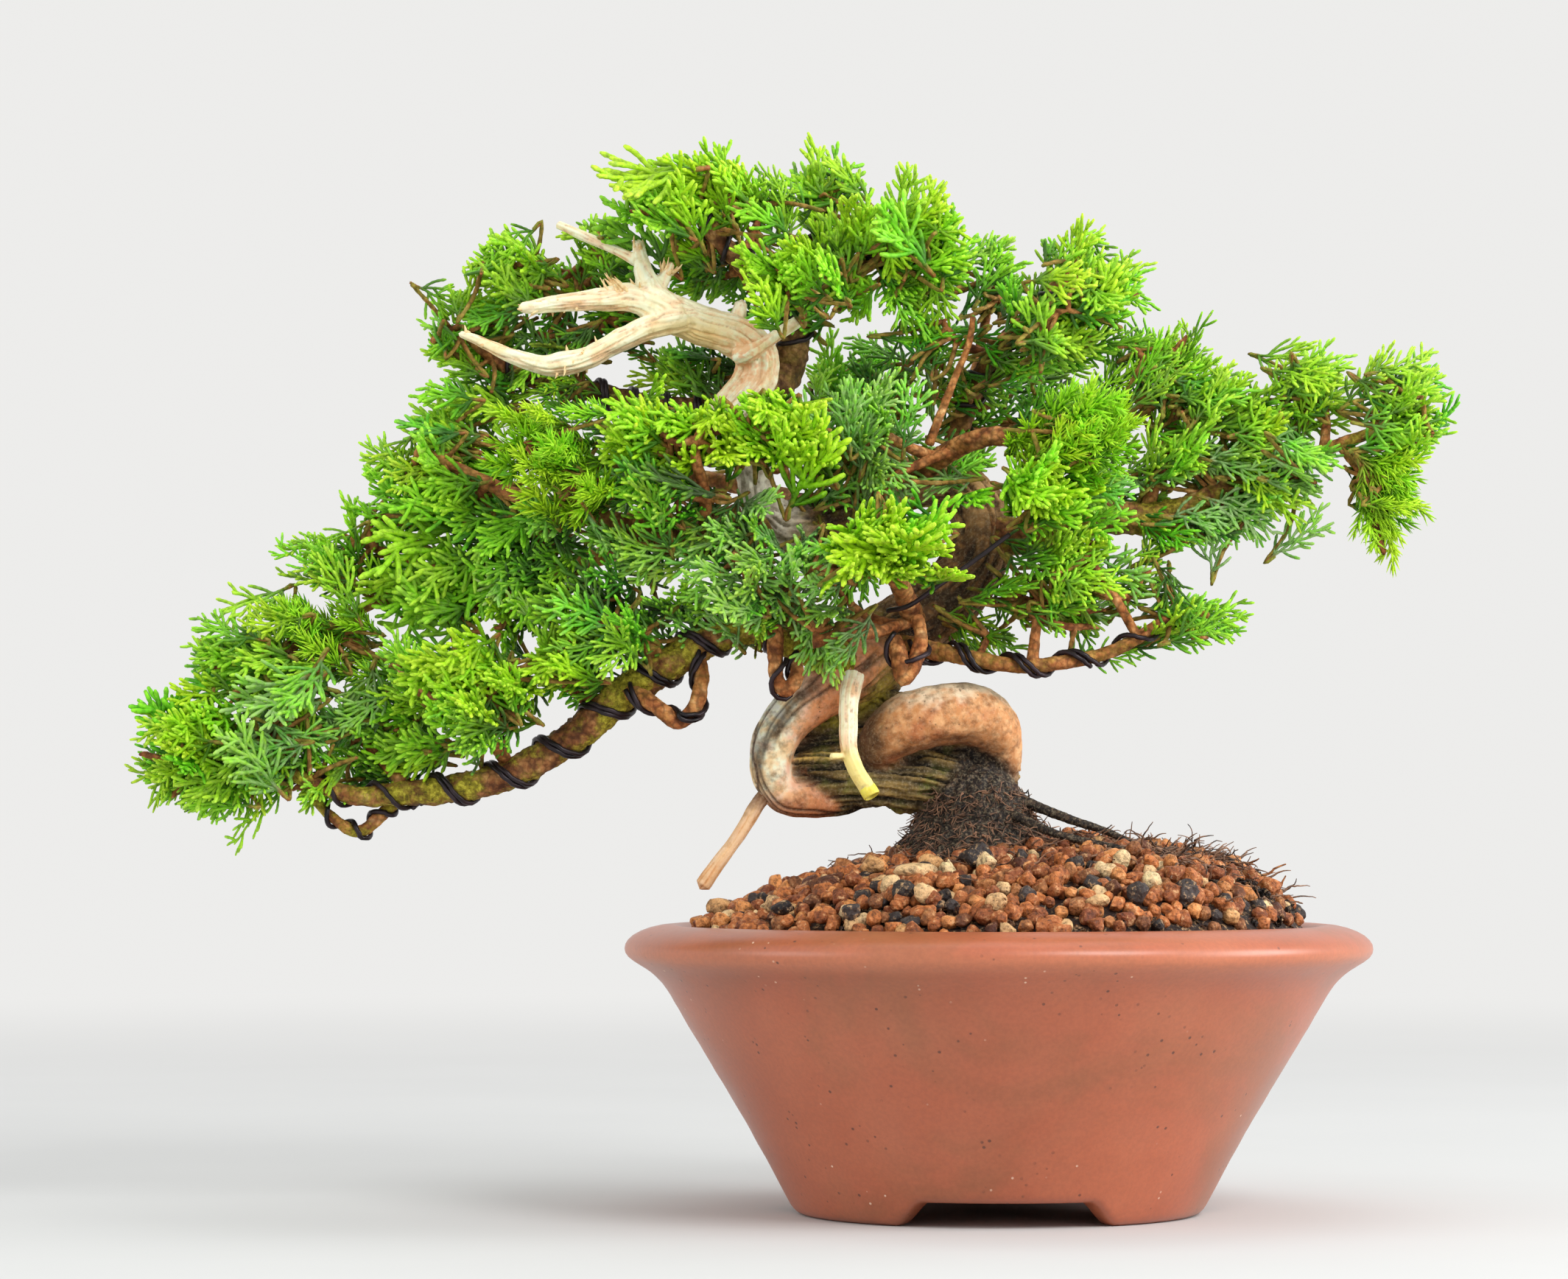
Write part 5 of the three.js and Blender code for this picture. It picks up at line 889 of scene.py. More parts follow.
        ob = mesh_object("grains_" + kind, V, None, T, None, np.stack([A["cr"], A["cg"], A["cb"]], 1), M_GRAIN)
        print("grains", kind, len(T))
        piece(ob, "soil_grains")


soil_pieces()


# ------------------------------------------------------------------ trunk
def closed_tube(soup, points, step, sides, wob=0.0, seed=0):
    D = spline(points, step)
    V, Q, T, at, an = tube(D[:, :3], np.maximum(D[:, 3], 0.2), sides)
    if wob:
        c = D[at, :3]
        V = c + (V - c) * (1 + wob * fbm(V * 0.22, seed, 2))[:, None]
    soup.add(V, Q, T)


NECK = [[-5.2, 0, 74, 19], [-5.2, 0, 79, 20.5], [-5.2, 0, 84, 20.5], [-5.2, 0, 88.5, 18.0], [-5.2, 0, 93, 15.2], [-5.0, 0, 97.5, 13.2], [-4.6, 0, 101.5, 11.6], [-4.0, 0, 105.5, 9.0]]


def trunk_piece():
    sp = Soup()
    closed_tube(sp, NECK, 1.5, 40)
    for k in ("core", "core_up", "core_top", "roll", "loop", "upper", "root_a", "root_b"):
        closed_tube(sp, LIMBS[k], 1.2, 28, 0.10, len(k))
    V, Q, T, _ = sp.arrays()
    V, Q, T, ed = remesh(V, Q, T, 0.42, 5)
    L = {"neck": Limb(NECK), **{k: Limb(LIMBS[k]) for k in ("core", "core_up", "core_top", "roll", "loop", "upper", "root_a", "root_b")}}
    co = {k: l.coords(V) for k, l in L.items()}
    N = normals(V, Q, T)
    sd = np.stack([co[k][1] for k in L])
    w = np.exp(-np.clip(sd - sd.min(0), 0, 30) / 0.55)
    w = w / w.sum(0)
    W = dict(zip(L, w))
    # relief
    # long sweeping fissures along the dead core, drawn in the plane of the coil
    lift = V[:, 2] + 0.10 * V[:, 0] + 2.2 * np.sin(V[:, 0] * 0.085 + 0.6) + 1.6 * fbm(V * 0.06, 2, 2)
    q1 = np.stack([V[:, 0] * 0.022, V[:, 1] * 0.10, lift * 0.34], 1)
    q2 = np.stack([V[:, 0] * 0.05, V[:, 1] * 0.25, lift * 0.95], 1)
    g_core = fbm(q1, 3, 2)
    g_core2 = fbm(q2, 4, 3)
    ridge = 1 - np.abs(g_core) * 4.2
    dc = -2.1 * smooth(ridge, 0.30, 1.0) + 1.5 * g_core2 + 0.5 * fbm(V * 0.7, 6, 2)
    g_up = L["upper"].grain(V, 0.30, 0.05, 7, co["upper"])
    du = -0.9 * smooth(1 - np.abs(g_up) * 3.0, 0.45, 1.0) + 0.35 * fbm(V * 0.35, 8, 3)
    g_ro = L["roll"].grain(V, 0.10, 0.03, 9, co["roll"])
    dr = 0.45 * g_ro * 2 + 0.16 * fbm(V * 0.5, 10, 3)
    g_lo = L["loop"].grain(V, 0.14, 0.03, 12, co["loop"])
    crack = smooth(1 - np.abs(L["loop"].grain(V, 0.12, 0.012, 14, co["loop"])) * 5, 0.55, 1.0)
    dl = 0.35 * g_lo * 2 + 0.12 * fbm(V * 0.5, 13, 3) - 0.55 * crack * (np.cos(co["loop"][3] - 1.6) < -0.1)
    dn = 0.9 * fbm(V * np.array([0.45, 0.45, 0.16]), 15, 3) * 1.6 + 0.5 * fbm(V * 0.9, 16, 2)
    d = (W["core"] + W["core_up"] + W["core_top"]) * dc + W["roll"] * dr + W["loop"] * dl + W["upper"] * du + W["neck"] * dn + (W["root_a"] + W["root_b"]) * 0.2 * fbm(V * 1.0, 18, 2)
    V = V + N * d[:, None]
    N = normals(V, Q, T)
    # colour
    f1, f2, f3 = fbm(V * 0.16, 21, 3), fbm(V * 0.5, 22, 3), fbm(V * 1.3, 23, 3)
    up = N[:, 2]
    cc = mix(S3(92, 76, 38), S3(150, 122, 64), smooth(g_core2, -0.25, 0.35))
    cc = mix(cc, S3(248, 214, 120), smooth(g_core2 + 0.6 * g_core, 0.26, 0.48) * 0.95)
    cc = mix(cc, S3(20, 17, 10), np.clip(smooth(ridge, 0.15, 0.8) * 0.95 + smooth(-g_core2, 0.18, 0.42) * 0.75, 0, 1))
    cc = mix(cc, S3(110, 116, 44), smooth(f1 + 0.3 * f2, 0.05, 0.45) * 0.55)
    cc = mix(cc, S3(150, 84, 46), smooth(-f1 + 0.3 * f3, 0.32, 0.6) * 0.6)
    cr = mix(S3(206, 140, 86), S3(232, 176, 122), smooth(f2, -0.3, 0.4))
    cr = mix(cr, S3(184, 96, 52), smooth(f1 + 0.35 * f2, 0.0, 0.42) * 0.7)
    cr = mix(cr, S3(246, 226, 192), smooth(up + 0.7 * f1 + 0.4 * f2, 0.30, 0.95) * 0.9)
    cr = mix(cr, S3(150, 124, 52), smooth(-f1 + 0.3 * f2, 0.10, 0.45) * smooth(-V[:, 0], 16, 34) * 0.75)
    cr = mix(cr, S3(64, 46, 24), smooth(-V[:, 0] + 3 * f1, 24, 31) * 0.85)
    cr = mix(cr, S3(120, 70, 40), smooth(-up + 0.4 * f2, 0.55, 0.95) * 0.7)
    cl = mix(S3(240, 200, 152), S3(255, 242, 218), smooth(f2 + 0.6 * f1 + 0.4 * up, -0.35, 0.45))
    cl = mix(cl, S3(216, 190, 176), smooth(f1 - 0.3 * f2, 0.1, 0.4) * 0.5)
    inner = smooth(V[:, 0] - 0.15 * (V[:, 2] - 112) + 5 * f1, -54, -44)
    cl = mix(cl, S3(204, 112, 50), inner * 0.75)
    cl = mix(cl, S3(150, 82, 46), smooth(-V[:, 2] + 4 * f1, -103, -97) * 0.65)
    edge = smooth(1 - np.abs(V[:, 0] + 59.2 - 0.35 * np.abs(V[:, 2] - 111) ** 1.25 * 0.22 + 0.8 * f1) / 0.55, 0.0, 0.8)
    cl = mix(cl, S3(58, 36, 18), edge * 0.85)
    cl = np.minimum(cl * 1.22, 0.97)
    cl = mix(cl, S3(60, 34, 22), crack * (np.cos(co["loop"][3] - 1.6) < -0.1) * 0.85)
    s_lo = co["loop"][2] / L["loop"].s[-1]
    start = smooth(-s_lo + 0.05 * f1 + 0.02 * f2, -0.19, -0.13)
    cl = mix(cl, mix(cc, S3(46, 34, 20), 0.35), start)
    s_up = co["upper"][2] / L["upper"].s[-1]
    cu = mix(S3(98, 66, 36), S3(172, 122, 70), smooth(f2 + 0.5 * g_up, -0.3, 0.4))
    cu = mix(cu, S3(34, 22, 12), smooth(1 - np.abs(g_up) * 3.0, 0.35, 1.0) * 0.85)
    low_moss = smooth(-s_up, -0.20, -0.06) * smooth(-V[:, 0] + 4 * f1, 20, 30)
    cu = mix(cu, mix(S3(150, 142, 34), S3(214, 200, 64), smooth(f3, -0.3, 0.3)), np.clip(low_moss * smooth(f2, -0.4, 0.0), 0, 1) * 0.9)
    cu = mix(cu, S3(214, 168, 108), smooth(s_up, 0.36, 0.5) * (1 - smooth(s_up, 0.62, 0.7)) * smooth(up, -0.1, 0.6) * 0.85)
    cu = mix(cu, S3(170, 156, 44), smooth(f1, -0.05, 0.35) * smooth(s_up, 0.45, 0.65) * 0.8)
    pale = smooth(s_up, 0.80, 0.88)
    cu = mix(cu, mix(S3(186, 172, 152), S3(240, 232, 214), smooth(f2, -0.3, 0.3)), pale * 0.95)
    cn = mix(S3(24, 15, 12), S3(104, 78, 58), smooth(f3 + 0.4 * f2, 0.0, 0.6))
    cn = mix(cn, S3(96, 88, 42), smooth(f2 + f3, 0.45, 0.8) * smooth(V[:, 2], 88, 100) * 0.6)
    ca = mix(S3(96, 48, 32), S3(140, 76, 50), smooth(f3, -0.3, 0.4))
    # the dark fibre skin climbs from the soil over the lower core
    dark = smooth(-V[:, 2] + 3 * f1 + 0.25 * V[:, 0], -104.5, -98.5) * smooth(V[:, 0], -24, -13)
    col = mix(cc, cc, 0.0)
    col = cc * (W["core"] + W["core_up"] + W["core_top"])[:, None] + cr * W["roll"][:, None] + cl * W["loop"][:, None] + cu * W["upper"][:, None] + cn * W["neck"][:, None] + ca * (W["root_a"] + W["root_b"])[:, None]
    col = mix(col, cn, np.clip(dark, 0, 1))
    ob = mesh_object("trunk_wood", V, Q, T, None, col, M_TRUNK)
    return piece(ob, "trunk_bark", "trunk")


trunk_piece()


# ------------------------------------------------------------------ bleached dead wood
def dead_piece(name, node, keys, voxel, seed, groove=0.35, sides=22, hollow=None):
    sp = Soup()
    for k in keys:
        closed_tube(sp, LIMBS[k], 0.9, sides, 0.12, seed)
    V, Q, T, _ = sp.arrays()
    V, Q, T, ed = remesh(V, Q, T, voxel, 3)
    L = {k: Limb(LIMBS[k]) for k in keys}
    co = {k: l.coords(V) for k, l in L.items()}
    N = normals(V, Q, T)
    sd = np.stack([co[k][1] for k in L])
    w = np.exp(-np.clip(sd - sd.min(0), 0, 30) / 0.4)
    w /= w.sum(0)
    g1 = sum(w[i] * L[k].grain(V, 0.42, 0.03, seed, co[k]) for i, k in enumerate(L))
    g2 = sum(w[i] * L[k].grain(V, 1.1, 0.06, seed + 3, co[k]) for i, k in enumerate(L))
    size = sum(w[i] * L[k].R[co[k][0]] for i, k in enumerate(L))
    r1 = smooth(1 - np.abs(g1) * 3.4, 0.4, 1.0)
    V = V + N * ((-groove * 1.6 * r1 + groove * 1.2 * g2) * np.clip(size / 4, 0.25, 1.2))[:, None]
    f1, f2 = fbm(V * 0.14, seed + 5, 3), fbm(V * 0.8, seed + 6, 3)
    c = mix(S3(250, 226, 184), S3(255, 244, 222), smooth(g2, -0.3, 0.3))
    c = mix(c, S3(246, 200, 132), smooth(f1 + 0.4 * g2, 0.0, 0.45) * 0.75)
    c = mix(c, S3(206, 128, 58), r1 * smooth(f1, -0.25, 0.3) * 0.8)
    c = mix(c, S3(110, 56, 26), smooth(r1, 0.75, 1.0) * smooth(f2 + 0.5 * f1, -0.1, 0.4) * 0.85)
    if seed == 31:
        # the heartwood shows orange on the bend, and grey weathering runs along the lower strip
        bend = np.exp(-(((V[:, 0] + 61) / 9) ** 2 + ((V[:, 2] - 206) / 9) ** 2))
        c = mix(c, S3(222, 132, 56), np.clip(bend * 1.2 * smooth(f2 + 0.6 * g1, -0.25, 0.25), 0, 1) * 0.8)
        c = mix(c, S3(232, 186, 80), np.exp(-(((V[:, 0] + 74) / 10) ** 2 + ((V[:, 2] - 212) / 4) ** 2)) * 0.8)
        low = smooth(-V[:, 2], -200, -192)
        c = mix(c, S3(250, 222, 206), low * 0.5)
        c = mix(c, S3(58, 34, 30), low * smooth(1 - np.abs(g1) * 6, 0.5, 0.9) * 0.9)
    if seed == 41:
        yel = smooth(-V[:, 2] + 1.5 * f2, -114, -108)
        c = mix(c, S3(232, 214, 60), yel * 0.85)
        c = mix(c, S3(120, 110, 30), smooth(-V[:, 2], -104.2, -102.5) * smooth(f2, -0.2, 0.3) * 0.6)
    if seed == 51:
        c = mix(c, S3(222, 158, 96), 0.6)
        c = mix(c, S3(96, 54, 28), smooth(V[:, 2] + 2 * f2, 95, 101) * 0.8)
    if seed != 51:
        c = np.minimum(mix(c, S3(255, 236, 200), 0.30) * 1.12, 0.97)
    ob = mesh_object(name, V, Q, T, None, c, M_DEAD)
    return piece(ob, "dead_wood", node)


dead_piece("jin_wood", "deadwood_top", ("jin_main", "jin_foot", "jin_up", "jin_left", "jin_low", "jin_right", "jin_twig", "jin_nub", "jin_torn"), 0.30, 31)
dead_piece("stub_front_wood", "deadwood_stub_front", ("stub_front", "stub_spur"), 0.2, 41, 0.16)
dead_piece("stub_low_wood", "deadwood_stub_low", ("stub_low",), 0.2, 51, 0.18)


def splinters():
    """Torn fibres at the broken ends of the dead wood."""
    rng = np.random.default_rng(5)
    sp = Soup()
    spots = [(LIMBS["jin_left"], 0.34, 16, 4.6, (-0.6, -0.2, 0.8)), (LIMBS["jin_left"], 0.95, 7, 2.6, (-1, 0, 0.1)), (LIMBS["jin_left"], 0.72, 5, 2.0, (-0.4, -0.4, -0.7)),
             (LIMBS["jin_low"], 0.50, 12, 3.0, (-0.3, -0.5, -0.9)), (LIMBS["jin_low"], 0.46, 5, 2.4, (-0.3, -0.4, 0.9)), (LIMBS["jin_low"], 0.93, 4, 2.0, (-0.8, 0, 0.5)),
             (LIMBS["jin_torn"], 0.7, 8, 3.4, (0.3, -0.3, 1.0)), (LIMBS["jin_up"], 0.9, 5, 2.6, (0, 0, 1)), (LIMBS["jin_main"], 0.03, 6, 4.5, (-0.6, 0, -0.9)), (LIMBS["jin_main"], 0.97, 6, 3.0, (-0.2, -0.4, 0.9))]
    for pts, f, n, ln, d in spots:
        L = Limb(pts, 0.4)
        for k in range(n):
            i = int(np.clip(f + rng.normal(0, 0.05), 0, 1) * (len(L.P) - 1))
            a = rng.uniform(0, 2 * PI)
            o = L.N[i] * math.cos(a) + L.B[i] * math.sin(a)
            P = grow_path(rng, L.P[i] + o * L.R[i] * 0.7, unit(np.array(d) + 0.5 * o + rng.normal(0, 0.3, 3)), ln * rng.uniform(0.5, 1.15), unit(np.array(d)), 0.5, 0.10)
            V, Q, T, at, an = tube(P, np.linspace(rng.uniform(0.35, 0.8), 0.10, len(P)), 5)
            sp.add(V, Q, T)
    # ring round the hollow cut end of the front stub
    E = np.array(LIMBS["stub_front"][-1][:3])
    dr = unit(E - np.array(LIMBS["stub_front"][-2][:3]) + np.array([0, -0.8, 0]))
    V, Q, T, at, an = tube(np.array([E + dr * 0.4, E + dr * 1.0]), np.array([2.15, 2.05]), 24, point=0.0)
    x = unit(np.cross(dr, [0, 0, 1.0]))
    y = np.cross(dr, x)
    a = np.linspace(0, 2 * PI, 40, endpoint=False)
    prof = [(2.02, -0.6), (2.10, 0.4), (2.06, 1.5), (1.85, 1.85), (1.60, 1.7), (1.45, 0.9), (1.1, 0.2), (0.5, 0.0), (0.02, -0.05)]
    W = np.array([[E + dr * (h + 0.3) + (x * math.cos(t) + y * math.sin(t)) * r * (1 + 0.05 * math.sin(3 * t)) for t in a] for r, h in prof])
    idx = np.arange(len(prof) * 40).reshape(len(prof), 40)
    nx = np.roll(idx, -1, 1)
    Qr = np.stack([idx[:-1], nx[:-1], nx[1:], idx[1:]], -1).reshape(-1, 4)
    W = W.reshape(-1, 3)
    n0 = sp.n
    sp.add(W, Qr, None)
    V, Q, T, _ = sp.arrays()
    f = fbm(V * 1.1, 71, 2)
    c = mix(S3(250, 222, 170), S3(214, 150, 84), smooth(f, -0.1, 0.5))
    rr = np.repeat([q[0] for q in prof], 40)
    cut = mix(S3(120, 112, 20), S3(240, 228, 90), smooth(rr, 1.2, 1.7))
    c[n0:] = cut
    ob = mesh_object("dead_splinters", V, Q, T, None, c, M_DEAD)
    piece(ob, "dead_wood")


# ------------------------------------------------------------------ branches
def bark_tube(soup, points, step, sides, seed, moss, age, rough=0.16):
    D = spline(points, step)
    V, Q, T, at, an = tube(D[:, :3], np.maximum(D[:, 3], 0.25), sides)
    c = D[at, :3]
    r = D[at, 3]
    n = fbm(V * 0.40, seed, 3) * 1.6 + 0.8 * fbm(V * 1.3, seed + 1, 2)
    V = c + (V - c) * (1 + rough * n)[:, None]
    soup.add(V, Q, T, moss=np.full(len(V), moss), age=np.clip(age * smooth(r, 0.8, 3.0), 0, 1), green=np.zeros(len(V)))


BRANCHES = {
    "branch_low_left": (["branch_low_left", "branch_low_left_twig", "hook_left"], 0.95, 0.55),
    "branch_low_right": (["branch_low_right", "hook_right"], 0.25, 0.35),
    "branch_right": (["branch_right"], 0.8, 0.55),
    "branch_middle_right": (["branch_mid_right", "twig_bare"], 0.1, 0.25),
    "branch_upper_left": (["branch_upper_left"], 0.1, 0.85),
    "branch_middle_left": (["branch_mid_left"], 0.2, 0.5),
    "branch_left": (["branch_left"], 0.3, 0.5),
    "leader": (["leader", "branch_apex_right", "branch_apex_back"], 0.15, 0.9),
    "branch_upper_right": (["branch_upper_right"], 0.1, 0.6),
    "branch_back_centre": (["branch_back_centre"], 0.1, 0.6),
    "branch_back_left": (["branch_back_left"], 0.1, 0.6),
    "branch_front": (["branch_front", "hook_mid"], 0.1, 0.2),
}


def branch_pieces():
    for k, (node, (keys, moss, age)) in enumerate(BRANCHES.items()):
        sp = Soup()
        for key in keys:
            bark_tube(sp, LIMBS[key], 0.6, 20, 60 + k, moss * (0.15 if key.startswith("hook") else 1), age * (0.3 if key.startswith("hook") else 1))
            for s in SHOOTS.get(key, []):
                bark_tube(sp, s, 0.8, 9, 80 + k, moss * 0.3, age * 0.3)
        V, Q, T, A = sp.arrays()
        ob = mesh_object("bark_" + node, V, Q, T, A, None, M_BARK)
        piece(ob, "branch_bark", node)


branch_pieces()


# ------------------------------------------------------------------ wires
WIRE_R = 0.62


def coil_points(points, u0, u1, turns, phase, extra=0.0, step=0.45, drift=0.0):
    L = Limb(points, 0.4)
    total = L.s[-1]
    n = max(8, int(turns * 22))
    u = np.linspace(u0, u1, n)
    k = np.clip(np.searchsorted(L.s, u * total), 0, len(L.s) - 1)
    a = phase + 2 * PI * turns * np.linspace(0, 1, n) + drift * np.sin(np.linspace(0, 9, n))
    r = L.R[k] * 1.03 + WIRE_R + extra
    return L.P[k] + L.N[k] * (r * np.cos(a))[:, None] + L.B[k] * (r * np.sin(a))[:, None]


def wire_tube(soup, P, r=WIRE_R, sides=8):
    V, Q, T, at, an = tube(P, np.full(len(P), r), sides, point=0.05)
    soup.add(V, Q, T)


def wires():
    jobs = {
        "wire_low_left": [("branch_low_left", 0.08, 0.92, 10, 0.0, 0), ("branch_low_left", 0.08, 0.70, 7.4, 0.45, 0), ("branch_low_left_twig", 0.1, 0.95, 5, 1.0, 0), ("hook_left", 0.05, 0.92, 2.2, 0.6, 0), ("hook_left", 0.05, 0.92, 2.2, 1.3, 0)],
        "wire_low_right": [("branch_low_right", 0.06, 0.86, 4.6, 1.0, 0.1), ("branch_low_right", 0.06, 0.6, 3.1, 1.9, 0.1), ("hook_right", 0.0, 0.9, 1.6, 0.2, 0), ("hook_mid", 0.3, 1.0, 1.2, 0.2, 0)],
        "wire_upper_left": [("branch_upper_left", 0.10, 0.85, 7, 2.0, 0), ("branch_upper_left", 0.1, 0.5, 3.7, 2.8, 0)],
        "wire_leader": [("leader", 0.25, 0.9, 5.5, 0.5, 0), ("branch_apex_right", 0.1, 0.8, 3.2, 0, 0), ("branch_apex_back", 0.1, 0.8, 3, 2, 0), ("branch_upper_right", 0.15, 0.85, 5, 1.0, 0)],
    }
    for node, coils in jobs.items():
        sp = Soup()
        for key, a, b, turns, ph, ex in coils:
            wire_tube(sp, coil_points(LIMBS[key], a, b, turns, ph, ex))
        V, Q, T, _ = sp.arrays()
        ob = mesh_object("coil_" + node, V, Q, T, None, None, M_WIRE)
        piece(ob, "training_wire", node)
    # free cut end in front, with its bright cut face
    P = spline([[-27, -19, 145, 1], [-22, -24, 146, 1], [-16, -26, 150, 1], [-6, -26, 157, 1], [2, -25, 163, 1]], 0.6)[:, :3]
    sp = Soup()
    wire_tube(sp, P)
    V, Q, T, _ = sp.arrays()
    ob = mesh_object("wire_free", V, Q, T, None, None, M_WIRE)
    ob.data.materials.append(M_CUT)
    for p in ob.data.polygons:
        if len(p.vertices) == 3 and p.center[0] > OFF[0] + 0.0015:
            p.material_index = 1
            p.use_smooth = False
    piece(ob, "training_wire", "wire_free_end")


wires()


# ------------------------------------------------------------------ foliage
def grow_path(rng, start, d, length, pull, step, wig=0.06, pullk=0.12):
    n = max(2, int(round(length / step)))
    pts = [np.array(start, float)]
    d = unit(d)
    for i in range(n):
        d = unit(d + (np.asarray(pull) - d) * pullk + rng.normal(0, wig, 3))
        pts.append(pts[-1] + d * (length / n))
    return np.array(pts)


def side_dir(rng, axis, fan, angle, side, out):
    """A direction leaving axis at angle, in the fan's plane, turned out of it by out."""
    x = unit(np.cross(fan, axis))
    v = x * side * math.cos(out) + unit(fan) * math.sin(out)
    return unit(axis * math.cos(angle) + v * math.sin(angle))


def beads(n, r0, r1, amp, phase=0):
    i = np.arange(n)
    r = np.linspace(r0, r1, n) * (1 + amp * np.where((i + phase) % 2 == 0, 1, -1))
    if n > 2:
        r[-1] *= 0.62
    return r


def scale_spray(seed, L=18.0, gap=1.9, side_len=8.5, sub_gap=1.8, r=0.7, spread=0.72, thick=0.5, step=1.2, amp=0.085, subs=True):
    rng = np.random.default_rng(seed)
    sp = Soup()
    z = np.array([0, 0, 1.0])
    fan = np.array([0, 1.0, 0])
    main = grow_path(rng, (0, 0, 0), unit([rng.normal(0, 0.12), rng.normal(0, 0.08), 1]), L, z, step, 0.05)

    def put(P, r0, r1, order, base_stem):
        n = len(P)
        V, Q, T, at, an = tube(P, beads(n, r0, r1, amp), 5, point=0.5)
        left = (n - 1 - at) * step
        tip = np.clip(1 - left / 4.2, 0, 1)
        stem = np.clip(1 - at * step / (L * 0.34), 0, 1) if base_stem else np.zeros(len(V))
        sp.add(V, Q, T, tip=tip, stem=stem, shoot=np.full(len(V), rng.random()))

    put(main, r * 0.92, r * 0.86, 0, True)
    s = L * rng.uniform(0.16, 0.24)
    side = 1 if rng.random() < 0.5 else -1
    while s < L - 0.8:
        i = min(len(main) - 2, int(s / step))
        ax = unit(main[i + 1] - main[i])
        f = (s / L)
        ln = side_len * (1.0 - 0.62 * f) * rng.uniform(0.72, 1.2) * (0.75 + 0.5 * smooth(np.array(f), 0.1, 0.35))
        d = side_dir(rng, ax, fan, spread * rng.uniform(0.75, 1.15), side, rng.normal(0, thick))
        P = grow_path(rng, main[i], d, ln, z, step, 0.045, 0.06)
        put(P, r * 0.86, r * 0.92, 1, False)
        if subs:
            t = rng.uniform(1.3, 2.2)
            sd = side
            while t < ln - 0.7:
                j = min(len(P) - 2, int(t / step))
                a2 = unit(P[j + 1] - P[j])
                l2 = (0.50 * (ln - t) + rng.uniform(3.2, 5.4))
                d2 = side_dir(rng, a2, fan, 0.66 * rng.uniform(0.8, 1.2), sd, rng.normal(0, thick * 1.5))
                P2 = grow_path(rng, P[j], d2, l2, unit(a2 + z * 0.4), step, 0.035, 0.08)
                put(P2, r * 0.84, r * 1.0, 2, False)
                sd = -sd
                t += sub_gap * rng.uniform(0.75, 1.3)
        side = -side
        s += gap * rng.uniform(0.7, 1.25)
    return sp.arrays()


def needle_spray(seed, L=20.0, gap=1.7, nl=5.6):
    """Young growth: pointed awl-shaped leaves in threes along a few shoots."""
    rng = np.random.default_rng(seed)
    sp = Soup()
    z = np.array([0, 0, 1.0])

    def shoot(start, d, length, first):
        P = grow_path(rng, start, d, length, unit(d + z * 0.25), 1.1, 0.04)
        V, Q, T, at, an = tube(P, np.linspace(0.55, 0.42, len(P)), 5)
        sp.add(V, Q, T, tip=np.full(len(V), 0.15), stem=np.clip(1 - at * 1.1 / (L * 0.4), 0, 1) * (1.0 if first else 0.2), shoot=np.full(len(V), 0.5))
        s, rot = 1.2, rng.uniform(0, PI)
        while s < length + 0.4:
            i = min(len(P) - 2, int(s / 1.1))
            ax = unit(P[i + 1] - P[i])
            nx = unit(np.cross(ax, [0.3, 0.9, 0.2]))
            ny = np.cross(ax, nx)
            for q in range(3):
                a = rot + q * 2 * PI / 3 + rng.normal(0, 0.2)
                o = nx * math.cos(a) + ny * math.sin(a)
                open_ = 0.62 if s < length - 2.5 else 0.30
                dd = unit(ax * math.cos(open_) + o * math.sin(open_))
                ln = nl * rng.uniform(0.75, 1.15) * (0.8 if s > length - 2 else 1.0)
                t = np.linspace(0, 1, 5)
                C = P[i] + dd * (t * ln)[:, None] + ax * (0.10 * ln * t ** 2)[:, None]
                w = np.array([0.30, 0.62, 0.58, 0.36, 0.08])
                V, Q, T, at, an = tube(C, w, 5, point=1.2)
                # flattened like a blade
                k = ((V - C[at]) @ o)[:, None] * o[None]
                V = V - 0.45 * k
                sp.add(V, Q, T, tip=np.clip(0.35 + 0.55 * at / 4.0, 0, 1), stem=np.zeros(len(V)), shoot=np.full(len(V), rng.random()))
            rot += 1.05
            s += gap * rng.uniform(0.85, 1.15)

    shoot((0, 0, 0), (0, 0, 1), L, True)
    for k in range(5):
        s = L * (0.22 + 0.14 * k)
        side = 1 if k % 2 else -1
        shoot((0, 0, s), unit([side * 0.8, rng.normal(0, 0.35), 0.8]), (L - s) * rng.uniform(0.5, 0.75), False)
    return sp.arrays()


DENSE = [scale_spray(100 + i, L=25.0, gap=3.1, side_len=14.0, sub_gap=3.8, r=0.80, thick=0.28, spread=0.66) for i in range(10)]
OPEN = [scale_spray(200 + i, L=31.0, gap=3.9, side_len=15.5, sub_gap=4.5, r=0.74, thick=0.28, spread=0.62) for i in range(8)]
THIN = [scale_spray(300 + i, L=34.0, gap=4.8, side_len=14.0, sub_gap=5.2, r=0.62, thick=0.28, spread=0.54) for i in range(7)]
NEEDLE = [needle_spray(400 + i, L=25.0, gap=2.3, nl=5.8) for i in range(5)]
# style: templates, tone mean, tone spread, bloom mean, length scale, blueness
STYLE = {
    0: (DENSE, 0.98, 0.14, 0.03, 0.95, 0.38),
    1: (DENSE, 0.86, 0.18, 0.12, 0.95, 0.44),
    2: (OPEN, 0.78, 0.16, 0.62, 0.85, 0.74),
    3: (THIN, 0.66, 0.20, 0.16, 0.85, 0.40),
    4: (NEEDLE, 0.88, 0.14, 0.02, 0.9, 0.34),
    5: (OPEN, 0.88, 0.18, 0.14, 0.85, 0.42),
    6: (OPEN, 0.62, 0.20, 0.18, 0.85, 0.64),
}
TREE_AXIS = np.array([-30.0, 5.0])


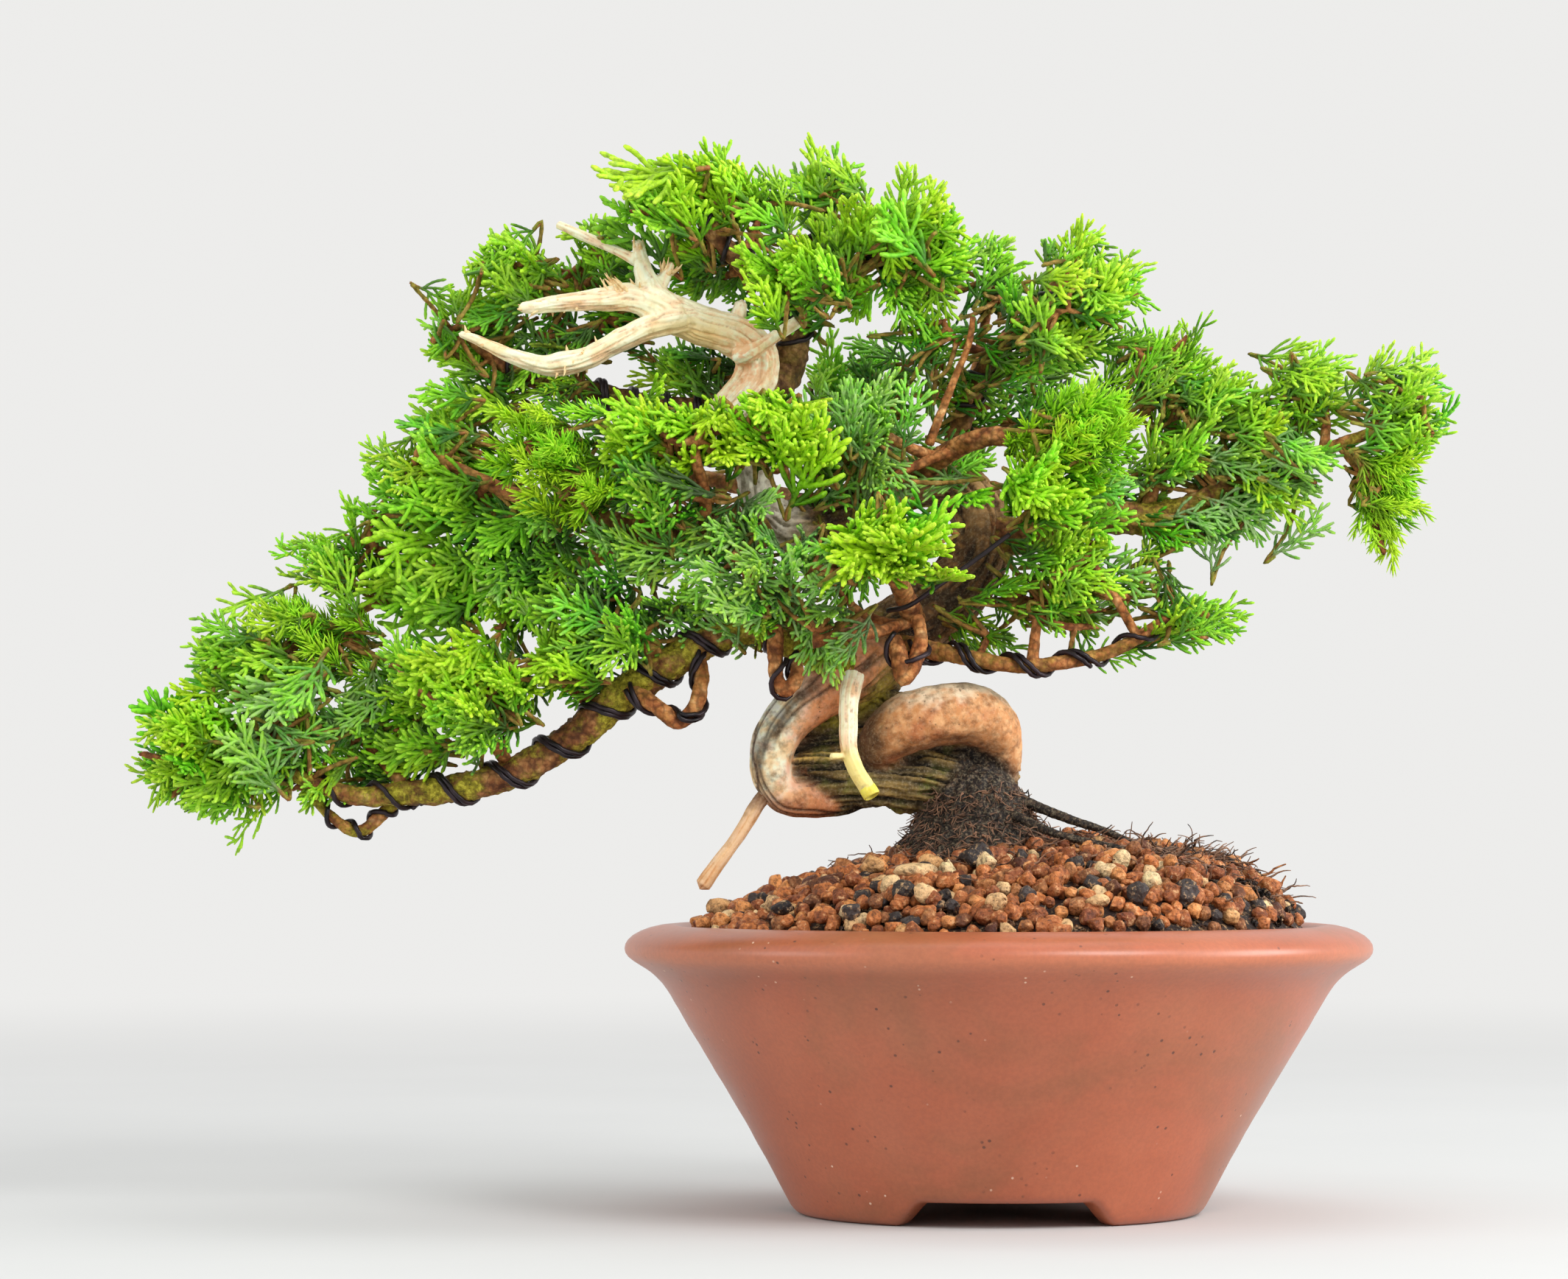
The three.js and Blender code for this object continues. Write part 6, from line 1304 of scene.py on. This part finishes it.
def place_spray(soup, rng, base, d, fan_hint, scale, tmpl, tone, bloom, bend, C, A3, hue, brown=0.0):
    V, Q, T, A = tmpl
    z = unit(d)
    y = unit(fan_hint - z * (fan_hint @ z))
    x = np.cross(y, z)
    L = V[:, 2].max()
    W = V * scale
    t = np.clip(V[:, 2] / L, 0, 1)
    P = base + W[:, :1] * x + W[:, 1:2] * y + W[:, 2:3] * z + (t ** 2)[:, None] * bend[None]
    # painted shade: darker where a spray starts and at the back of its cluster, on the tone and on the tip mask
    shade = (0.30 + 0.70 * smooth(t, 0.10, 0.66)) * (1 - 0.46 * smooth((P[:, 1] - C[1]) / A3[1], -0.3, 1.1))
    n = len(P)
    soup.add(P, Q, T, tip=A["tip"] * (0.5 + 0.5 * shade), stem=np.clip(A["stem"] + brown, 0, 1), tone=np.clip(tone * shade + (A["shoot"] - 0.5) * 0.30, 0, 1), bloom=np.full(n, bloom), hue=np.clip(hue + (A["shoot"] - 0.5) * 0.35, 0, 1))


def foliage():
    groups = {}
    most = 0
    bones = np.vstack([spline(v, 1.0) for k, v in LIMBS.items() if k.startswith(("branch", "leader", "upper"))] + [spline(w, 1.0) for v in SHOOTS.values() for w in v])
    for pi_, (node, lumps) in enumerate(PADS.items()):
        rng = np.random.default_rng(1000 + pi_ * 7)
        twigs = groups.setdefault(node.split("_")[1], Soup())
        for li, (cx, cy, cz, ax, ay, az, tilt, count, style, dx, dy, dz) in enumerate(lumps):
            soup = Soup()
            C = np.array([cx, cy, cz])
            A3 = np.array([ax, ay, az])
            D = unit([dx, dy, dz])
            ca, sa = math.cos(math.radians(-tilt)), math.sin(math.radians(-tilt))
            tmpls, tone0, tone_s, bloom0, ls, hue0 = STYLE[int(style)]
            root = C - D * A3 * 0.8
            bi, bd = nearest(root[None], bones[:, :3])
            near = bones[bi[0], :3]
            heart = C - D * A3 * 0.20
            mid = near * 0.45 + heart * 0.55 + rng.normal(0, 1.2, 3) + np.array([0, 0, -1.0])
            stem = spline([[*near, 1.25], [*mid, 1.0], [*heart, 0.75], [*(heart + D * A3 * 0.22), 0.34]], 1.2)
            V, Q, T, at, an = tube(stem[:, :3], stem[:, 3] * (1 + 0.10 * np.where(np.arange(len(stem)) % 2, 1, -1)), 7)
            twigs.add(V, Q, T, moss=np.zeros(len(V)), age=np.full(len(V), 0.15), green=np.zeros(len(V)))
            for k in range(int(count)):
                while True:
                    u = unit(rng.normal(size=3))
                    if rng.random() < 0.22 + 0.78 * smooth(np.array(u @ D), -0.9, 0.45):
                        break
                r = rng.uniform(0.50, 1.32)
                e = u * A3 * r
                e = np.array([e[0] * ca - e[2] * sa, e[1], e[0] * sa + e[2] * ca])
                tipp = C + e
                tm = tmpls[rng.integers(len(tmpls))]
                Lt = tm[0][:, 2].max()
                si = int(np.clip(rng.beta(2.2, 1.6), 0, 1) * (len(stem) - 1))
                w = unit(rng.normal(size=3)) * rng.uniform(0, 1) ** 0.5 * A3
                src = stem[si, :3] + w * 0.55
                v = tipp - src
                dist = np.linalg.norm(v)
                reach = np.clip(dist * 1.05, 0.66 * Lt * ls, 1.15 * Lt * ls)
                sc = reach / Lt
                dirn = unit(unit(v) * 0.50 + D * 0.50 + rng.normal(0, 1, 3) * np.array([0.26, 0.20, 0.26]))
                base = tipp - dirn * reach
                up = rng.uniform(0.2, 3.0) if D[2] > -0.3 else rng.uniform(-3.0, 0.4)
                bend = np.array([0, 0, up]) + rng.normal(0, 0.9, 3)
                facing = unit(np.array([rng.normal(0, 0.5), -0.85 + rng.normal(0, 0.35), 0.40 + rng.normal(0, 0.35)]))
                # painted light: sprays on the front of a cluster get a lighter tone
                tone = np.clip(tone0 + rng.normal(0, tone_s) + 0.10 * (-u[1]), 0.05, 1)
                bloom = np.clip(bloom0 * rng.uniform(0.3, 1.5), 0, 1)
                place_spray(soup, rng, base, dirn, facing, sc, tm, tone, bloom, bend, C, A3, hue0 + rng.normal(0, 0.24), 0.45 if rng.random() < 0.02 else 0.0)
                d2 = np.linalg.norm(stem[:, :3] - base, axis=1) + 0.25 * np.arange(len(stem))[::-1]
                st = stem[int(d2.argmin()), :3]
                if np.linalg.norm(base - st) > 1.5:
                    midp = (st + base) / 2 + rng.normal(0, 0.8, 3) + np.array([0, 0, -0.5])
                    P = spline([[*st, 0.72], [*midp, 0.60], [*base, 0.5], [*(base + dirn * 3.0), 0.40]], 1.3)
                    V, Q, T, at, an = tube(P[:, :3], P[:, 3] * (1 + 0.10 * np.where(np.arange(len(P)) % 2, 1, -1)), 5)
                    twigs.add(V, Q, T, moss=np.zeros(len(V)), age=np.full(len(V), 0.05), green=np.clip(0.75 * at / max(1, len(P) - 1), 0, 1))
            V, Q, T, A = soup.arrays()
            ob = mesh_object("shoots_" + node.replace("foliage_", "") + "_%d" % li, V, Q, T, A, None, M_LEAF)
            if li == 0:
                piece(ob, "foliage", node)
            else:
                piece(ob, "foliage")
            most = max(most, len(ob.data.loops) - 2 * len(ob.data.polygons))
    for key, twigs in groups.items():
        V, Q, T, A = twigs.arrays()
        ob = mesh_object("fine_twigs_" + key, V, Q, T, A, None, M_BARK)
        piece(ob, "branch_bark")


foliage()


splinters()


# ------------------------------------------------------------------ roots
def roots():
    sp = Soup()
    D = spline(LIMBS["root_thin"], 0.6)
    V, Q, T, at, an = tube(D[:, :3], D[:, 3] * (1 + 0.12 * fbm(D[:, :3] * 0.8, 3, 2)), 9)
    sp.add(V, Q, T)
    for k, (i, d, ln) in enumerate([(0.25, (0.5, -0.3, 0.5), 5), (0.45, (0.7, 0.2, 0.25), 8), (0.5, (0.1, -0.4, -1), 5), (0.62, (0.2, -0.2, -1), 8), (0.82, (0.1, 0.1, -1), 7), (0.7, (0.9, 0, 0.6), 5), (0.35, (-0.4, -0.3, -0.8), 5)]):
        rng = np.random.default_rng(900 + k)
        P = grow_path(rng, D[int(i * (len(D) - 1)), :3], np.array(d), ln, np.array(d), 0.8, 0.16)
        V, Q, T, at, an = tube(P, np.linspace(0.42, 0.18, len(P)), 6)
        sp.add(V, Q, T)
    V, Q, T, _ = sp.arrays()
    ob = mesh_object("root_right_wood", V, Q, T, {"moss": np.zeros(len(V)), "age": np.full(len(V), 0.35), "green": np.zeros(len(V))}, None, M_BARK)
    piece(ob, "root_bark", "surface_root_right")
    # fine black roots over the neck and over the heap's right side
    sp = Soup()
    rng = np.random.default_rng(77)
    for k in range(1000):
        a = rng.uniform(0, 2 * PI)
        h = rng.uniform(0, 1) ** 0.9
        zc = 84 + 18 * h
        r = np.interp(zc, [82, 88.5, 93, 97.5, 101.5, 105.5], [22, 18.6, 15.6, 13.6, 12.0, 9.4]) + rng.uniform(-0.5, 0.3)
        p = np.array([-5.2 + r * math.cos(a), r * math.sin(a), zc])
        out = np.array([math.cos(a), math.sin(a), 0])
        tang = np.array([-math.sin(a), math.cos(a), 0])
        slope = unit(np.array([0, 0, -1.0]) + out * 0.75)
        d = unit(slope * rng.uniform(-0.4, 1.0) + out * rng.uniform(0.0, 0.22) + tang * rng.normal(0, 0.8))
        P = grow_path(rng, p, d, rng.uniform(1.8, 4.6), unit(d + slope * 0.6), 0.8, 0.26)
        V, Q, T, at, an = tube(P, np.linspace(rng.uniform(0.13, 0.30), 0.08, len(P)), 4)
        sp.add(V, Q, T)
    for k in range(1000):
        if k < 560:
            x, y = rng.normal(45, 13), rng.normal(-4, 13)
        elif k < 860:
            a = rng.uniform(0, 2 * PI)
            q = 19 + abs(rng.normal(0, 7))
            x, y = -5.2 + q * math.cos(a), q * math.sin(a)
        else:
            x, y = rng.normal(12, 24), rng.normal(-18, 14)
        if math.hypot(x, y) > 71:
            continue
        zc = float(heap(np.array(x), np.array(y))) + rng.uniform(-1.4, 0.6)
        az = rng.uniform(0, 2 * PI)
        d = unit(np.array([math.cos(az) + 0.3, math.sin(az), rng.normal(0.02, 0.16)]))
        P = grow_path(rng, (x, y, zc), d, rng.uniform(3, 9), unit(d + np.array([0.1, 0, -0.35])), 0.9, 0.24, 0.10)
        V, Q, T, at, an = tube(P, np.linspace(rng.uniform(0.16, 0.42), 0.10, len(P)), 5)
        sp.add(V, Q, T)
    V, Q, T, _ = sp.arrays()
    ob = mesh_object("fine_roots", V, Q, T, None, None, M_ROOT)
    piece(ob, "root_bark")


roots()

# ------------------------------------------------------------------ stage, light, camera
def stage():
    prof = [(0.0, 0.0)]
    prof += [(2.4, 0.0)] + [(2.4 + 1.2 * math.sin(a), 1.2 - 1.2 * math.cos(a)) for a in np.linspace(0.1, PI / 2, 14)] + [(3.6, 2.1)]
    seg = 72
    V, Q = [], []
    for r, z in prof[1:]:
        for k in range(seg):
            a = 2 * PI * k / seg
            V.append((r * math.cos(a), r * math.sin(a), z))
    n = len(prof) - 1
    F = [[i * seg + k, i * seg + (k + 1) % seg, (i + 1) * seg + (k + 1) % seg, (i + 1) * seg + k] for i in range(n - 1) for k in range(seg)]
    F.append([k for k in range(seg)][::-1])
    me = bpy.data.meshes.new("sweep")
    me.from_pydata([tuple(v) for v in V], [], F)
    for p in me.polygons:
        p.use_smooth = True
    me.update()
    ob = bpy.data.objects.new("sweep", me)
    bpy.context.scene.collection.objects.link(ob)
    m, nt, bs = new_mat("pale_sweep")
    g = G(nt)
    n1 = g.noise(6, 4, 0.5)
    far = g.node("ShaderNodeVectorMath", operation="LENGTH")
    nt.links.new(g.tc.outputs["Object"], far.inputs[0])
    near = g.ramp(n1, [(0.3, (0.60, 0.605, 0.60, 1)), (0.7, (0.62, 0.625, 0.62, 1))])
    away = g.step(far.outputs["Value"], 0.30, 1.5)
    g.put(bs.inputs["Base Color"], g.mix(away, near, (0.0, 0.0, 0.0, 1)))
    bs.inputs["Emission Color"].default_value = (0.985, 0.98, 0.965, 1)
    g.put(bs.inputs["Emission Strength"], g.math("MULTIPLY", away, 0.86))
    bs.inputs["Roughness"].default_value = 0.9
    bs.inputs["Specular IOR Level"].default_value = 0.0
    me.materials.append(m)


stage()


def area(name, loc, target, size, power, colour=(1, 1, 1)):
    from mathutils import Vector

    l = bpy.data.lights.new(name, "AREA")
    l.shape = "DISK"
    l.size = size
    l.energy = power
    l.color = colour
    o = bpy.data.objects.new(name, l)
    o.location = loc
    o.rotation_mode = "QUATERNION"
    o.rotation_quaternion = (Vector(target) - Vector(loc)).to_track_quat("-Z", "Y")
    bpy.context.scene.collection.objects.link(o)


CX = float(OFF[0])
area("key", (CX + 0.70, -1.0, 1.05), (CX - 0.03, 0, 0.12), 0.7, 12.0)
area("left", (CX - 1.2, -0.5, 0.55), (CX - 0.03, 0, 0.10), 0.7, 3.0)
area("right", (CX + 1.25, -0.15, 0.45), (CX, 0, 0.08), 0.7, 10.0)
area("top", (CX, 0.35, 1.5), (CX - 0.03, 0, 0.12), 1.0, 2.2)
world = bpy.data.worlds.new("studio")
bpy.context.scene.world = world
world.use_nodes = True
world.node_tree.nodes["Background"].inputs[0].default_value = (1.0, 1.0, 1.0, 1)
world.node_tree.nodes["Background"].inputs[1].default_value = 0.88

from mathutils import Vector

cam = bpy.data.cameras.new("camera")
cam.sensor_fit = "HORIZONTAL"
cam.sensor_width = 36
cam.lens = 36 * 1.2 / (2129 * 0.179e-3)
cam.clip_start, cam.clip_end = 0.05, 20
co = bpy.data.objects.new("camera", cam)
co.location = (CX - 0.0518, -1.2, 0.096)
co.rotation_euler = (PI / 2 + math.atan((1107 - 868) * 0.179 / 1200), 0, 0)
bpy.context.scene.collection.objects.link(co)
bpy.context.scene.camera = co
bpy.context.scene.view_settings.view_transform = "Standard"
bpy.context.scene.view_settings.look = "None"
bpy.context.scene.view_settings.exposure = 0.0
